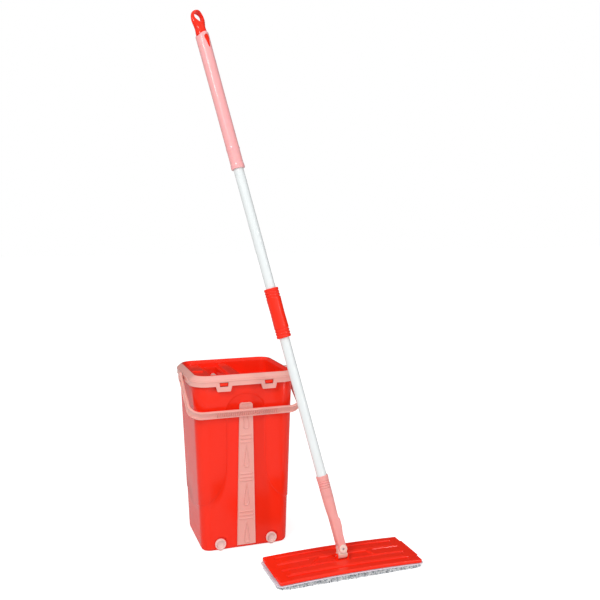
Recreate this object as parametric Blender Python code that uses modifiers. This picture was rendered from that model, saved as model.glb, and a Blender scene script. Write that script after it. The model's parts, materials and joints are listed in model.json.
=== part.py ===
"""Flat mop with a wash-and-squeeze bucket: bucket, wringer insert, bail, mop head and two-part pole.

Units are metres, +Z is up. The origin is the middle of the bucket's flat foot, the bucket's front
faces -Y, and the mop stands on the floor in front of the bucket, its pole leaning to the left.
"""
import math

import bmesh
import bpy
from mathutils import Vector

# Driving dimensions -------------------------------------------------------------------------
GAP = 0.0003              # clearance between parts that touch

MOUTH = (0.1080, 0.1025)  # half width and half depth of the bucket's mouth
MOUTH_R = 0.027           # corner radius of the mouth

TUB_TOP_Z = 0.392
TUB_TOP = (0.1137, 0.1050)
TUB_FOOT = (0.1006, 0.0890)
TUB_FOOT_Z = 0.006        # height of the rounded edge round the foot
TUB_WALL = 0.003
TUB_FLOOR = 0.004
PARTITION_Z = 0.300

LUG_X = 0.0508            # snap lugs, left and right of the middle, front and back
BAIL_Z = 0.383            # height of the bail's pivots
BAIL_HALF = 0.1260        # middle of each bail arm
BAIL_REACH = 0.1325       # pivot to the middle of the bar
BAIL_REST = math.radians(-59.5)
BAIL_CORNER = 0.028
STRAP = (0.0190, 0.0055)  # bail strap, width and thickness

PLUG_X = 0.0590           # drain plugs, left and right of the middle
PLUG_Z = 0.0155

SLOT = (-0.0600, -0.0275, 0.0760)  # squeeze slot: left, right, half length
WASH = (0.0480, 0.0860, 0.0820)    # wash opening: left, right, half length
ROLLER = (-0.0345, 0.3660)         # roller axis, x and z
ROLLER_R = 0.0062

PLATE_AT = (0.1671, -0.2523)       # middle of the mop head on the floor
PLATE_YAW = math.radians(0.54)
PLATE = (0.322, 0.129)             # length and width of the plate
PAD_TOP = 0.0080
BACKING = 0.0008                    # thickness of the pad's backing cloth
PLATE_Z = (0.0105, 0.0175)         # underside and top of the plate at its ends
ARCH = 0.0035                      # how far the plate bows up in the middle of its length
TILT_Z = 0.0245                    # tilt axis above the floor
SWING_UP = 0.0150                  # swing axis above the tilt axis
LEAN_BACK = math.radians(10.4)
LEAN_LEFT = math.radians(12.09)

TUBE_R = 0.01075
TUBE_WALL = 0.0010
SOCKET_END = 0.1595                # distances up the pole, from the swing axis
LOWER_TUBE = (0.112, 0.4972)
SLEEVE = (0.4635, 0.572)
UPPER_TUBE = (0.5197, 1.101)
GRIP = (0.837, 1.137)
CAP_END = 1.189
CAP_TURN = math.radians(20)        # the loop and the grip's window, turned about the pole

PINK = (0.90, 0.53, 0.50)
RED = (0.90, 0.05, 0.03)
PALE = (0.93, 0.78, 0.72)
WHITE = (0.88, 0.90, 0.90)
STEEL = (0.62, 0.62, 0.64)
GREY = (0.62, 0.62, 0.64)


# Scene helpers ------------------------------------------------------------------------------
def collection(name):
    made = bpy.data.collections.new(name)
    bpy.context.scene.collection.children.link(made)
    return made


def clear_scene():
    for obj in list(bpy.data.objects):
        bpy.data.objects.remove(obj, do_unlink=True)


def material(name, color, roughness, metallic=0.0):
    made = bpy.data.materials.new(name)
    made.use_nodes = True
    shader = made.node_tree.nodes["Principled BSDF"]
    shader.inputs["Base Color"].default_value = (*color, 1.0)
    shader.inputs["Roughness"].default_value = roughness
    shader.inputs["Metallic"].default_value = metallic
    return made


def frame(name, location=(0, 0, 0), rotation=(0, 0, 0), parent=None):
    """An empty that carries the parts of one moving body."""
    empty = bpy.data.objects.new(name, None)
    PARTS.objects.link(empty)
    empty.location = location
    empty.rotation_euler = rotation
    empty.parent = parent
    return empty


def add(name, mesh, color=RED, roughness=0.35, metallic=0.0, parent=None, location=(0, 0, 0),
        rotation=(0, 0, 0)):
    """Add a part with its own material, shaded smooth with its sharp edges kept."""
    obj = bpy.data.objects.new(name, mesh)
    PARTS.objects.link(obj)
    obj.location = location
    obj.rotation_euler = rotation
    obj.parent = parent
    mesh.materials.clear()
    mesh.materials.append(material(name, color, roughness, metallic))
    mesh.shade_smooth()
    mesh.set_sharp_from_angle(angle=math.radians(35))
    return obj


def tool(target, mesh, operation, location=(0, 0, 0), rotation=(0, 0, 0)):
    """Join, cut or clip target with a mesh placed in target's own space."""
    cutter = bpy.data.objects.new(f"{target.name}_{operation.lower()}", mesh)
    CUTTERS.objects.link(cutter)
    cutter.parent = target
    cutter.location = location
    cutter.rotation_euler = rotation
    cutter.hide_render = True
    cutter.display_type = "WIRE"
    boolean = target.modifiers.new(cutter.name, "BOOLEAN")
    boolean.object = cutter
    boolean.operation = operation
    boolean.solver = "EXACT"
    return cutter


# Mesh helpers -------------------------------------------------------------------------------
def mesh_from(bm, name):
    bmesh.ops.recalc_face_normals(bm, faces=bm.faces)
    mesh = bpy.data.meshes.new(name)
    bm.to_mesh(mesh)
    bm.free()
    return mesh


def box(name, low, high, bevel=0.0, segments=2):
    """A box from its low corner to its high corner, its edges rounded by bevel."""
    bm = bmesh.new()
    bmesh.ops.create_cube(bm, size=1.0)
    size = Vector(high) - Vector(low)
    bmesh.ops.scale(bm, vec=size, verts=bm.verts)
    bmesh.ops.translate(bm, vec=(Vector(high) + Vector(low)) / 2, verts=bm.verts)
    if bevel:
        bmesh.ops.bevel(bm, geom=bm.edges[:], offset=bevel, segments=segments, affect="EDGES")
    return mesh_from(bm, name)


def cylinder(name, radius, depth, segments=24, top=None):
    """A cylinder or cone along Z, centred on the origin."""
    bm = bmesh.new()
    bmesh.ops.create_cone(bm, cap_ends=True, segments=segments, radius1=radius,
                          radius2=radius if top is None else top, depth=depth)
    return mesh_from(bm, name)


def loft(name, sections, closed=False):
    """Skin a list of sections, each a list of points, and cap or close it."""
    bm = bmesh.new()
    rings = [[bm.verts.new(point) for point in section] for section in sections]
    pairs = list(zip(rings, rings[1:]))
    if closed:
        pairs.append((rings[-1], rings[0]))
    for lower, upper in pairs:
        for i in range(len(lower)):
            j = (i + 1) % len(lower)
            bm.faces.new((lower[i], lower[j], upper[j], upper[i]))
    if not closed:
        bm.faces.new(rings[0][::-1])
        bm.faces.new(rings[-1])
    return mesh_from(bm, name)


def rounded_rect(half_w, half_d, radius, z, steps=5):
    """Points round a rectangle with rounded corners, at height z."""
    points = []
    corners = ((1, 1, 0), (-1, 1, 90), (-1, -1, 180), (1, -1, 270))
    for sx, sy, start in corners:
        for k in range(steps + 1):
            angle = math.radians(start + 90 * k / steps)
            x = sx * (half_w - radius) + radius * math.cos(angle)
            y = sy * (half_d - radius) + radius * math.sin(angle)
            points.append((x, y, z))
    return points


def mouth_ring(offset, z):
    """The mouth's outline grown by offset, at height z."""
    return rounded_rect(MOUTH[0] + offset, MOUTH[1] + offset, MOUTH_R + offset, z)


def turned(name, profile, segments=28, **look):
    """A closed profile of (radius, height) points turned about Z, its outer side listed top to bottom."""
    mesh = bpy.data.meshes.new(name)
    bm = bmesh.new()
    verts = [bm.verts.new((radius, 0, height)) for radius, height in profile]
    on_axis = profile[0][0] == 0 and profile[-1][0] == 0
    ends = verts[1:] if on_axis else verts[1:] + verts[:1]
    for first, second in zip(verts, ends):
        bm.edges.new((first, second))
    bm.to_mesh(mesh)
    bm.free()
    obj = add(name, mesh, **look)
    screw = obj.modifiers.new("turn", "SCREW")
    screw.steps = segments
    screw.render_steps = segments
    screw.use_merge_vertices = True
    screw.merge_threshold = 0.0001
    screw.use_smooth_shade = True
    return obj


def tube(name, outer, inner, low, high, **look):
    return turned(name, [(outer, high), (outer, low), (inner, low), (inner, high)], **look)


def flat_outline(name, points, thickness):
    """A flat plate in XY cut from an outline, thickness centred on Z = 0."""
    curve = bpy.data.curves.new(name, "CURVE")
    curve.dimensions = "2D"
    curve.fill_mode = "BOTH"
    curve.extrude = thickness / 2
    spline = curve.splines.new("POLY")
    spline.points.add(len(points) - 1)
    for point, (x, y) in zip(spline.points, points):
        point.co = (x, y, 0, 1)
    spline.use_cyclic_u = True
    return curve_mesh(name, curve)


def curve_mesh(name, curve):
    """The curve's evaluated mesh, with its loose caps welded on."""
    holder = bpy.data.objects.new(name, curve)
    bpy.context.scene.collection.objects.link(holder)
    bpy.context.view_layer.update()
    evaluated = holder.evaluated_get(bpy.context.evaluated_depsgraph_get())
    mesh = bpy.data.meshes.new_from_object(evaluated)
    bpy.data.objects.remove(holder)
    bm = bmesh.new()
    bm.from_mesh(mesh)
    bmesh.ops.remove_doubles(bm, verts=bm.verts, dist=0.00005)
    bmesh.ops.recalc_face_normals(bm, faces=bm.faces)
    bm.to_mesh(mesh)
    bm.free()
    return mesh


def arc(cx, cy, radius, start, end, steps):
    return [(cx + radius * math.cos(math.radians(start + (end - start) * k / steps)),
             cy + radius * math.sin(math.radians(start + (end - start) * k / steps)))
            for k in range(steps + 1)]


# Bucket -------------------------------------------------------------------------------------
def tub_half(z):
    """Outer half width and half depth of the tub at height z."""
    part = (z - TUB_FOOT_Z) / (TUB_TOP_Z - TUB_FOOT_Z)
    return tuple(foot + (top - foot) * part for foot, top in zip(TUB_FOOT, TUB_TOP))


def tub_section(z, inset=0.0, radius=None):
    half_w, half_d = tub_half(z)
    if radius is None:
        radius = 0.022 + (0.0295 - 0.022) * z / TUB_TOP_Z
    return rounded_rect(half_w - inset, half_d - inset, radius - inset, z)


def face_y(z):
    """The front face's y at height z."""
    return -tub_half(z)[1]


def make_tub():
    outer = [rounded_rect(TUB_FOOT[0] - 0.005, TUB_FOOT[1] - 0.005, 0.017, 0.0),
             rounded_rect(TUB_FOOT[0] - 0.0015, TUB_FOOT[1] - 0.0015, 0.0205, 0.0018),
             tub_section(TUB_FOOT_Z), tub_section(TUB_TOP_Z)]
    inner = [tub_section(TUB_TOP_Z, TUB_WALL), tub_section(TUB_FLOOR + 0.004, TUB_WALL),
             rounded_rect(TUB_FOOT[0] - 0.008, TUB_FOOT[1] - 0.008, 0.014, TUB_FLOOR)]
    tub = add("bucket_tub", loft("bucket_tub", outer + inner))
    add_partition(tub)
    for side in (-1, 1):
        add_drain(tub, side * PLUG_X)
        for face in (-1, 1):
            low = (side * LUG_X - 0.0085, -0.1146, 0.3780)
            high = (side * LUG_X + 0.0085, -0.1030, 0.3845)
            turn = (0, 0, 0) if face < 0 else (0, 0, math.pi)
            tool(tub, box("catch", low, high), "UNION", rotation=turn)
    return tub


def add_partition(tub):
    """The wall between the two chambers, its ends sunk in the tub's walls."""
    half = 0.0013
    sections = []
    for z in (TUB_FLOOR - 0.001, PARTITION_Z):
        reach = tub_half(max(z, TUB_FOOT_Z))[1] - TUB_WALL / 2
        sections.append([(half, reach, z), (-half, reach, z), (-half, -reach, z), (half, -reach, z)])
    tool(tub, loft("partition", sections), "UNION")


def add_drain(tub, x):
    """A drain hole in a boss, in a shallow arch-shaped recess low in the front face."""
    wall = face_y(PLUG_Z)
    lie = (math.pi / 2, 0, 0)
    tool(tub, cylinder("boss", 0.0110, 0.0060, 32), "UNION", (x, wall + 0.0045, PLUG_Z), lie)
    tool(tub, cylinder("recess", 0.0137, 0.0200, 40), "DIFFERENCE", (x, wall - 0.0082, PLUG_Z), lie)
    low = (x - 0.0090, wall - 0.02, -0.01)
    high = (x + 0.0090, wall + 0.0018, PLUG_Z - 0.0060)
    tool(tub, box("recess_foot", low, high), "DIFFERENCE")
    tool(tub, cylinder("hole", 0.0068, 0.0300, 28), "DIFFERENCE", (x, wall, PLUG_Z), lie)


def make_drain_plug(name, x):
    """A soft plug: a cupped disc with a pull tab, and a stem through the tub's wall."""
    seat = face_y(PLUG_Z) + 0.0018 - GAP
    profile = [(0, -0.0012), (0.0084, -0.0012), (0.0092, 0.0), (0.0104, 0.0004), (0.0118, -0.0004),
               (0.0120, -0.0020), (0.0115, -0.0040), (0.0062, -0.0040), (0.0062, -0.0135), (0.0048, -0.0150),
               (0, -0.0150)]
    plug = turned(name, profile, 28, color=PALE, roughness=0.5, location=(x, seat - 0.0040, PLUG_Z),
                  rotation=(math.pi / 2, 0, 0))
    tab = box("tab", (-0.0042, -0.0146, -0.0038), (0.0042, -0.0100, -0.0006), 0.0010)
    tool(plug, tab, "UNION")
    return plug


def make_front_strip():
    """A thin strip, wider at the foot, with rounded top corners, lying on the sloped front face."""
    foot, top, corner, low, high = 0.0212, 0.0148, 0.0065, 0.0080, 0.3365
    shoulder = high - low - corner
    outline = [(-foot, 0.0), (foot, 0.0)]
    outline += arc(top - corner, shoulder, corner, 0, 90, 6) + arc(corner - top, shoulder, corner, 90, 180, 6)
    mesh = flat_outline("front_strip", outline, 0.0024)
    slope = math.atan2(TUB_TOP[1] - TUB_FOOT[1], TUB_TOP_Z - TUB_FOOT_Z)
    place = (0, face_y(low) - (0.0012 + GAP) / math.cos(slope), low)
    strip = add("front_strip", mesh, PINK, 0.35, location=place, rotation=(math.pi / 2 + slope, 0, 0))
    bevel = strip.modifiers.new("edges", "BEVEL")
    bevel.width = 0.0006
    bevel.segments = 1
    return strip


def make_rim_frame():
    """The frame round the mouth: a sloped band, a skirt, a ledge on the tub's rim, lugs and ears."""
    skirt = 0.0116
    profile = [(0.0001, 0.4000), (0.0016, 0.4000), (skirt, 0.3918), (0.0126, 0.3896), (0.0122, 0.3880),
               (skirt, 0.3872), (skirt, 0.3775), (0.0080, 0.3775), (0.0080, TUB_TOP_Z + GAP),
               (-0.0042, TUB_TOP_Z + GAP), (-0.0042, 0.3943), (0.0001, 0.3943)]
    rim = add("rim_frame", loft("rim_frame", [mouth_ring(o, z) for o, z in profile], closed=True), PINK, 0.35)
    outer = MOUTH[1] + skirt
    for side in (-1, 1):
        for face in (-1, 1):
            turn = (0, 0, 0) if face < 0 else (0, 0, math.pi)
            x = side * LUG_X
            lug = [[(x - 0.0150, -outer + 0.0001, 0.3658), (x + 0.0150, -outer + 0.0001, 0.3658),
                    (x + 0.0150, -outer + 0.0040, 0.3658), (x - 0.0150, -outer + 0.0040, 0.3658)],
                   [(x - 0.0180, -outer + 0.0001, 0.3785), (x + 0.0180, -outer + 0.0001, 0.3785),
                    (x + 0.0180, -outer + 0.0040, 0.3785), (x - 0.0180, -outer + 0.0040, 0.3785)]]
            tool(rim, loft("lug", lug), "UNION", rotation=turn)
            window = box("window", (x - 0.0100, -outer - 0.01, 0.3762), (x + 0.0100, -outer + 0.006, 0.3860))
            tool(rim, window, "DIFFERENCE", rotation=turn)
        across = (0, math.pi / 2, 0)
        at_ear = (side * (MOUTH[0] + skirt - 0.0018), 0, BAIL_Z)
        tool(rim, cylinder("ear", 0.0085, 0.0036, 32), "UNION", at_ear, across)
        tool(rim, cylinder("hole", 0.0043, 0.0100, 24), "DIFFERENCE", at_ear, across)
    return rim


def make_bail(hinge):
    """A strap bent to a U, with a raised edge on each side, eyes at the ends and pegs in the ears."""
    half_strap, thick = STRAP[0] / 2, STRAP[1] / 2
    lip, floor = 0.0030, 0.0016
    section = [(thick, -half_strap), (thick, -half_strap + lip), (thick - floor, -half_strap + lip + 0.0006),
               (thick - floor, half_strap - lip - 0.0006), (thick, half_strap - lip), (thick, half_strap),
               (-thick, half_strap), (-thick, -half_strap)]
    path = [(-BAIL_HALF, 0.002, 180)]
    middle = BAIL_HALF - BAIL_CORNER
    for k in range(9):
        angle = 180 + 90 * k / 8
        path.append((-middle + BAIL_CORNER * math.cos(math.radians(angle)),
                     -BAIL_REACH + BAIL_CORNER + BAIL_CORNER * math.sin(math.radians(angle)), angle))
    path += [(-x, z, 540 - angle) for x, z, angle in reversed(path)]
    rings = []
    for x, z, angle in path:
        nx, nz = math.cos(math.radians(angle)), math.sin(math.radians(angle))
        rings.append([(x + nx * out, across, z + nz * out) for out, across in section])
    bail = add("bail_handle", loft("bail_handle", rings), PINK, 0.35, parent=hinge)
    for side in (-1, 1):
        turn = (0, math.pi / 2, 0)
        tool(bail, cylinder("eye", 0.0108, STRAP[1] + 0.0004, 32), "UNION", (side * BAIL_HALF, 0, 0), turn)
        peg = 0.0110
        tool(bail, cylinder("peg", 0.0040, peg, 24), "UNION", (side * (BAIL_HALF - peg / 2), 0, 0), turn)
    return bail


# Wringer insert -----------------------------------------------------------------------------
def make_deck():
    """The drop-in insert: a wall with a flange, and a stepped deck with a slot and an opening."""
    deck_line = [(-0.1120, 0.3920), (-0.0690, 0.3920), (-0.0640, 0.3840), (-0.0235, 0.3840),
                 (-0.0205, 0.3905), (-0.0020, 0.3910), (0.0050, 0.3880), (0.0270, 0.3665),
                 (0.0330, 0.3640), (0.1120, 0.3640)]
    outline = deck_line + [(x, z - 0.0026) for x, z in reversed(deck_line)]
    sections = [[(x, y, z) for x, z in outline] for y in (0.112, -0.112)]
    deck = add("wringer_deck", loft("wringer_deck", sections))
    inside = [mouth_ring(-0.0096, 0.3300), mouth_ring(-0.0059, 0.4100)]
    tool(deck, loft("inside", inside), "INTERSECT")
    wall = [(-0.0006, 0.4006), (-0.0006, 0.3946), (-0.0055, 0.3946), (-0.0082, 0.3350), (-0.0104, 0.3350),
            (-0.0077, 0.3940), (-0.0034, 0.4006)]
    tool(deck, loft("wall", [mouth_ring(o, z) for o, z in wall], closed=True), "UNION")
    add_chute(deck, SLOT, 0.3205, 0.3828)
    add_chute(deck, WASH, 0.3380, 0.3627)
    tool(deck, cylinder("axle_holes", 0.0023, 0.180, 20), "DIFFERENCE", (ROLLER[0], 0, ROLLER[1]),
         (math.pi / 2, 0, 0))
    return deck


def add_chute(deck, opening, low, high):
    """Walls below an opening in the deck, and the opening itself."""
    left, right, half = opening
    wall = 0.0025
    tool(deck, box("chute", (left - wall, -half - wall, low), (right + wall, half + wall, high)), "UNION")
    tool(deck, box("opening", (left, -half, 0.30), (right, half, 0.42)), "DIFFERENCE")


def make_scraper():
    """A blade on the slot's left wall, its edge towards the roller."""
    left, half = SLOT[0] + GAP, SLOT[2] - 0.0015
    outline = [(left, 0.3480), (left + 0.0014, 0.3480), (left + 0.0044, 0.3590), (left + 0.0044, 0.3615),
               (left + 0.0014, 0.3740), (left, 0.3740)]
    sections = [[(x, y, z) for x, z in outline] for y in (half, -half)]
    return add("scraper_blade", loft("scraper_blade", sections), PALE, 0.5)


def make_roller():
    lie = (math.pi / 2, 0, 0)
    place = (ROLLER[0], 0, ROLLER[1])
    half = SLOT[2] - 0.0015
    tube("squeeze_roller", ROLLER_R, 0.0024, -half, half, color=PALE, roughness=0.45, location=place,
         rotation=lie)
    axle = cylinder("roller_axle", 0.0020, 2 * SLOT[2] + 0.0040, 20)
    add("roller_axle", axle, STEEL, 0.3, 1.0, location=place, rotation=lie)


# Mop head -----------------------------------------------------------------------------------
def slab(name, half_l, half_w, corner, edge, shift=0.0):
    """A long slab over the plate's arch: edge lists (inset, height, share of the arch), bottom to top."""
    bends = [half_l - corner + corner * math.sin(math.radians(30 * k)) for k in range(4)]
    stations = [-x for x in reversed(bends)] + [bends[0] * k / 5 for k in range(-4, 5)] + bends
    sections = []
    for x in stations:
        past = min(max(abs(x) - half_l + corner, 0.0), corner)
        half = half_w - corner + math.sqrt(corner ** 2 - past ** 2)
        lift = ARCH * (1 - (2 * x / PLATE[0]) ** 2)
        side = [(x, half - inset, z + share * lift) for inset, z, share in edge]
        mirrored = [(x, -y, z) for _, y, z in reversed(side)]
        sections.append([(x, y + shift, z) for x, y, z in side + mirrored])
    return loft(name, sections)


def make_plate(head):
    """A bowed plate with long grooves, a flat panel in its middle and two ears for the tilt pin."""
    low, high = PLATE_Z
    edge = [(0.001, low, 1), (0, low + 0.001, 1), (0, high - 0.0035, 1), (0.004, high, 1)]
    mesh = slab("mop_plate", PLATE[0] / 2, PLATE[1] / 2, 0.007, edge)
    plate = add("mop_plate", mesh, RED, 0.3, parent=head)
    groove = [(0, high - 0.0022, 1), (0, high + 0.02, 1)]
    for y in (-0.045, -0.0135, 0.045):
        tool(plate, slab("groove", 0.138, 0.003, 0.0005, groove, y), "DIFFERENCE")
    for x in (-0.102, 0.107):
        cutter = box("groove", (x - 0.036, 0.0105, high - 0.0010), (x + 0.032, 0.0165, high + 0.02))
        tool(plate, cutter, "DIFFERENCE")
    panel = [(-0.076, -0.0105), (0.072, -0.0105), (0.062, 0.0165), (-0.046, 0.0165)]
    tool(plate, loft("panel", [[(x, y, z) for x, y in panel] for z in (high, high + 0.02)]), "DIFFERENCE")
    for side in (-1, 1):
        x = side * 0.0122
        foot = box("ear_foot", (x - 0.0022, -0.0047, high - 0.001), (x + 0.0022, 0.0047, TILT_Z))
        tool(plate, foot, "UNION")
        turn = (0, math.pi / 2, 0)
        tool(plate, cylinder("ear", 0.0049, 0.0044, 24), "UNION", (x, 0, TILT_Z), turn)
    tool(plate, cylinder("pin_hole", 0.0024, 0.0400, 20), "DIFFERENCE", (0, 0, TILT_Z), (0, math.pi / 2, 0))
    return plate


def make_pad(head):
    """Hook strips under the plate, the pad's backing cloth and its pile, which is flat underneath."""
    half_l, half_w = PLATE[0] / 2, PLATE[1] / 2
    cloth = (PAD_TOP + GAP, PAD_TOP + GAP + BACKING)
    tape = [(0, cloth[1] + GAP, 1), (0, PLATE_Z[0] - GAP, 1)]
    for name, y in (("hook_strip_front", -0.040), ("hook_strip_back", 0.040)):
        add(name, slab(name, 0.145, 0.0125, 0.001, tape, y), (0.1, 0.1, 0.1), 0.9, parent=head)
    edge = [(0, z, 1) for z in cloth]
    backing = slab("pad_backing", half_l - 0.001, half_w - 0.001, 0.012, edge)
    add("pad_backing", backing, GREY, 0.9, parent=head)
    edge = [(0.005, 0, 0), (0.001, 0.0022, 0), (0, 0.0055, 0.5), (0.002, PAD_TOP, 1)]
    pile = slab("mop_pad", half_l + 0.001, half_w + 0.001, 0.015, edge)
    add("mop_pad", pile, GREY, 0.95, parent=head)


def make_tilt_pin(head):
    turn = (0, math.pi / 2, 0)
    add("tilt_pin", cylinder("tilt_pin", 0.0021, 0.0290, 20), STEEL, 0.3, 1.0, head, (0, 0, TILT_Z), turn)


def make_knuckle(tilt):
    """The block between the two pins: an eye on the tilt pin and a round-topped tongue above it."""
    width, tongue = 0.0192, 0.0124
    across, along = (0, math.pi / 2, 0), (math.pi / 2, 0, 0)
    body = box("knuckle_block", (-width / 2, -tongue / 2, 0.0), (width / 2, tongue / 2, SWING_UP))
    block = add("knuckle_block", body, PALE, 0.45, parent=tilt)
    tool(block, cylinder("eye", 0.0062, width - 0.0004, 32), "UNION", rotation=across)
    tool(block, cylinder("tongue", 0.0094, tongue - 0.0004, 40), "UNION", (0, 0, SWING_UP), along)
    tool(block, cylinder("tilt_hole", 0.0024, 0.03, 20), "DIFFERENCE", rotation=across)
    tool(block, cylinder("swing_hole", 0.0024, 0.03, 20), "DIFFERENCE", (0, 0, SWING_UP), along)
    pin = cylinder("swing_pin", 0.0021, 0.0210, 20)
    add("swing_pin", pin, STEEL, 0.3, 1.0, tilt, (0, 0, SWING_UP), along)


# Pole ---------------------------------------------------------------------------------------
def make_socket(pole):
    """The socket: a tapered body that takes the lower tube, and a clevis round the knuckle's tongue."""
    bore = TUBE_R + GAP
    rings = [(0.0127, 0), (0.0127, -0.0060), (0.0121, -0.0068), (0.0127, -0.0076), (0.0127, -0.0130),
             (0.0121, -0.0138), (0.0127, -0.0146)]
    outline = [(0, 0.1080), (bore, 0.1110), (bore, SOCKET_END)] + [(r, SOCKET_END + z) for r, z in rings]
    outline += [(0.0127, 0.1200), (0.0120, 0.0900), (0.0106, 0.0640), (0.0104, 0.0120), (0, 0.0120)]
    socket = turned("pole_socket", outline, 28, color=PINK, roughness=0.4, parent=pole)
    along = (math.pi / 2, 0, 0)
    hood = [(-0.0092, 0.0), (0.0110, 0.0), (0.0112, 0.0640), (0.0094, 0.0700), (-0.0092, 0.0600)]
    sections = [[(x, y, z) for x, z in hood] for y in (-0.0106, 0.0106)]
    tool(socket, loft("hood", sections), "UNION")
    tool(socket, cylinder("cheek_ends", 0.0094, 0.0210, 40), "UNION", rotation=along)
    tool(socket, box("clevis_gap", (-0.02, -0.0065, -0.02), (0.02, 0.0065, 0.0108)), "DIFFERENCE")
    tool(socket, cylinder("swing_hole", 0.0024, 0.04, 20), "DIFFERENCE", rotation=along)
    return socket


def make_tubes(pole):
    inner = TUBE_R - TUBE_WALL
    look = dict(color=WHITE, roughness=0.2, metallic=0.0, parent=pole)
    tube("lower_tube", TUBE_R, inner, LOWER_TUBE[0], LOWER_TUBE[1], **look)
    tube("upper_tube", TUBE_R, inner, UPPER_TUBE[0], UPPER_TUBE[1], **look)
    foot, fit = LOWER_TUBE[0] + 0.0005, inner - GAP
    plug = [(0, 0.150), (fit, 0.150), (fit, foot), (0, foot)]
    turned("tube_plug", plug, 24, color=PINK, roughness=0.5, parent=pole)


def make_coupling(pole):
    """The sleeve with a threaded web inside, the washer on the web, and the upper tube's plug."""
    low, high = SLEEVE
    bore = TUBE_R + GAP
    web = (LOWER_TUBE[1] + GAP, LOWER_TUBE[1] + 0.0204)
    rings = []
    for k in range(3):
        z = high - 0.006 - 0.0055 * k
        rings += [(0.0154, z + 0.0012), (0.0147, z), (0.0154, z - 0.0012)]
    lower = [(r, low + high - z) for r, z in reversed(rings)]
    profile = [(0.0150, high), (0.0154, high - 0.001)] + rings + [(0.0151, (low + high) / 2)] + lower
    profile += [(0.0154, low + 0.001), (0.0150, low), (bore, low), (bore, web[0]), (0.0089, web[0]),
                (0.0089, web[1]), (bore, web[1]), (bore, high)]
    turned("coupling_sleeve", profile, 32, color=RED, roughness=0.35, parent=pole)
    tube("coupling_washer", 0.0107, 0.0090, web[1] + GAP, UPPER_TUBE[0] - GAP, color=GREY, roughness=0.6,
         parent=pole)
    body = TUBE_R - TUBE_WALL - GAP
    shoulder, top = UPPER_TUBE[0] + 0.0002, UPPER_TUBE[0] + 0.030
    plug = [(0, top), (body, top), (body, shoulder), (0.0085, shoulder), (0.0085, web[0]), (0, web[0])]
    turned("thread_plug", plug, 24, color=PINK, roughness=0.5, parent=pole)


def make_grip(pole):
    """The long grip with a teardrop window near its top."""
    low, high = GRIP
    bore = TUBE_R + GAP
    profile = [(0.0140, high), (0.0150, high - 0.003), (0.0146, high - 0.02), (0.0142, (low + high) / 2),
               (0.0142, low + 0.048), (0.0147, low + 0.044), (0.0142, low + 0.040), (0.0140, low + 0.012),
               (0.0146, low + 0.009), (0.0146, low + 0.001), (0.0142, low), (bore, low), (bore, high)]
    grip = turned("grip_sleeve", profile, 32, color=PINK, roughness=0.45, parent=pole)
    window = box("window", (-0.0030, -0.03, high - 0.029), (0.0030, -0.005, high - 0.006))
    tool(grip, window, "DIFFERENCE", rotation=(0, 0, CAP_TURN))
    return grip


def cap_section(z, points=28):
    """The cap's oval outline at height z: round at the grip, widest at the loop, closing at its crown."""
    low, wide = GRIP[1] + GAP, CAP_END - 0.0245
    if z < wide:
        part = (z - low) / (wide - low)
        half = 0.0118 + 0.0035 * part * part * (3 - 2 * part)
    else:
        half = 0.0153 * math.sqrt(max(1 - ((z - wide) / (CAP_END - wide)) ** 2, 0.02))
    depth = 0.0118 - 0.0030 * (z - low) / (CAP_END - low)
    turns = [2 * math.pi * k / points for k in range(points)]
    return [(half * math.cos(a), min(depth, half) * math.sin(a), z) for a in turns]


def make_loop_cap(pole):
    """The end cap: a spigot in the grip's top and a broad hanging loop."""
    low = GRIP[1] + GAP
    rise = CAP_END - low
    steps = [0, 0.12, 0.25, 0.38, 0.52, 0.64, 0.74, 0.83, 0.90, 0.95, 0.98, 1.0]
    mesh = loft("loop_cap", [cap_section(low + rise * part) for part in steps])
    cap = add("loop_cap", mesh, RED, 0.3, parent=pole, rotation=(0, 0, CAP_TURN))
    spigot = (UPPER_TUBE[1] + GAP, low + 0.004)
    tool(cap, cylinder("spigot", TUBE_R - GAP, spigot[1] - spigot[0], 28), "UNION", (0, 0, sum(spigot) / 2))
    hole = cylinder("hole", 0.0096, 0.05, 32)
    tool(cap, hole, "DIFFERENCE", (0, 0, CAP_END - 0.0175), (math.pi / 2, 0, 0))
    return cap


def build():
    make_tub()
    make_front_strip()
    make_rim_frame()
    make_drain_plug("drain_plug_left", -PLUG_X)
    make_drain_plug("drain_plug_right", PLUG_X)
    make_bail(frame("bail_hinge", (0, 0, BAIL_Z), (BAIL_REST, 0, 0)))
    make_deck()
    make_scraper()
    make_roller()
    head = frame("mop_head", (*PLATE_AT, 0), (0, 0, PLATE_YAW))
    make_plate(head)
    make_pad(head)
    make_tilt_pin(head)
    tilt = frame("tilt_axis", (0, 0, TILT_Z), (-LEAN_BACK, 0, 0), head)
    make_knuckle(tilt)
    pole = frame("swing_axis", (0, 0, SWING_UP), (0, -LEAN_LEFT, 0), tilt)
    make_socket(pole)
    make_tubes(pole)
    make_coupling(pole)
    make_grip(pole)
    make_loop_cap(pole)


clear_scene()
PARTS = collection("flat_mop_set")
CUTTERS = collection("cutters")
build()
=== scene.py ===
"""Looks for the flat mop and its wash-and-squeeze bucket: camera, light, materials and detailed pieces.

Units are metres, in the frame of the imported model: +Z up, origin in the middle of the bucket's foot.
"""
import json
import random
from math import atan2, copysign, cos, hypot, pi, radians, sin, sqrt, tan

import bmesh
import bpy
import numpy as np
from mathutils import Matrix, Vector


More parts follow.
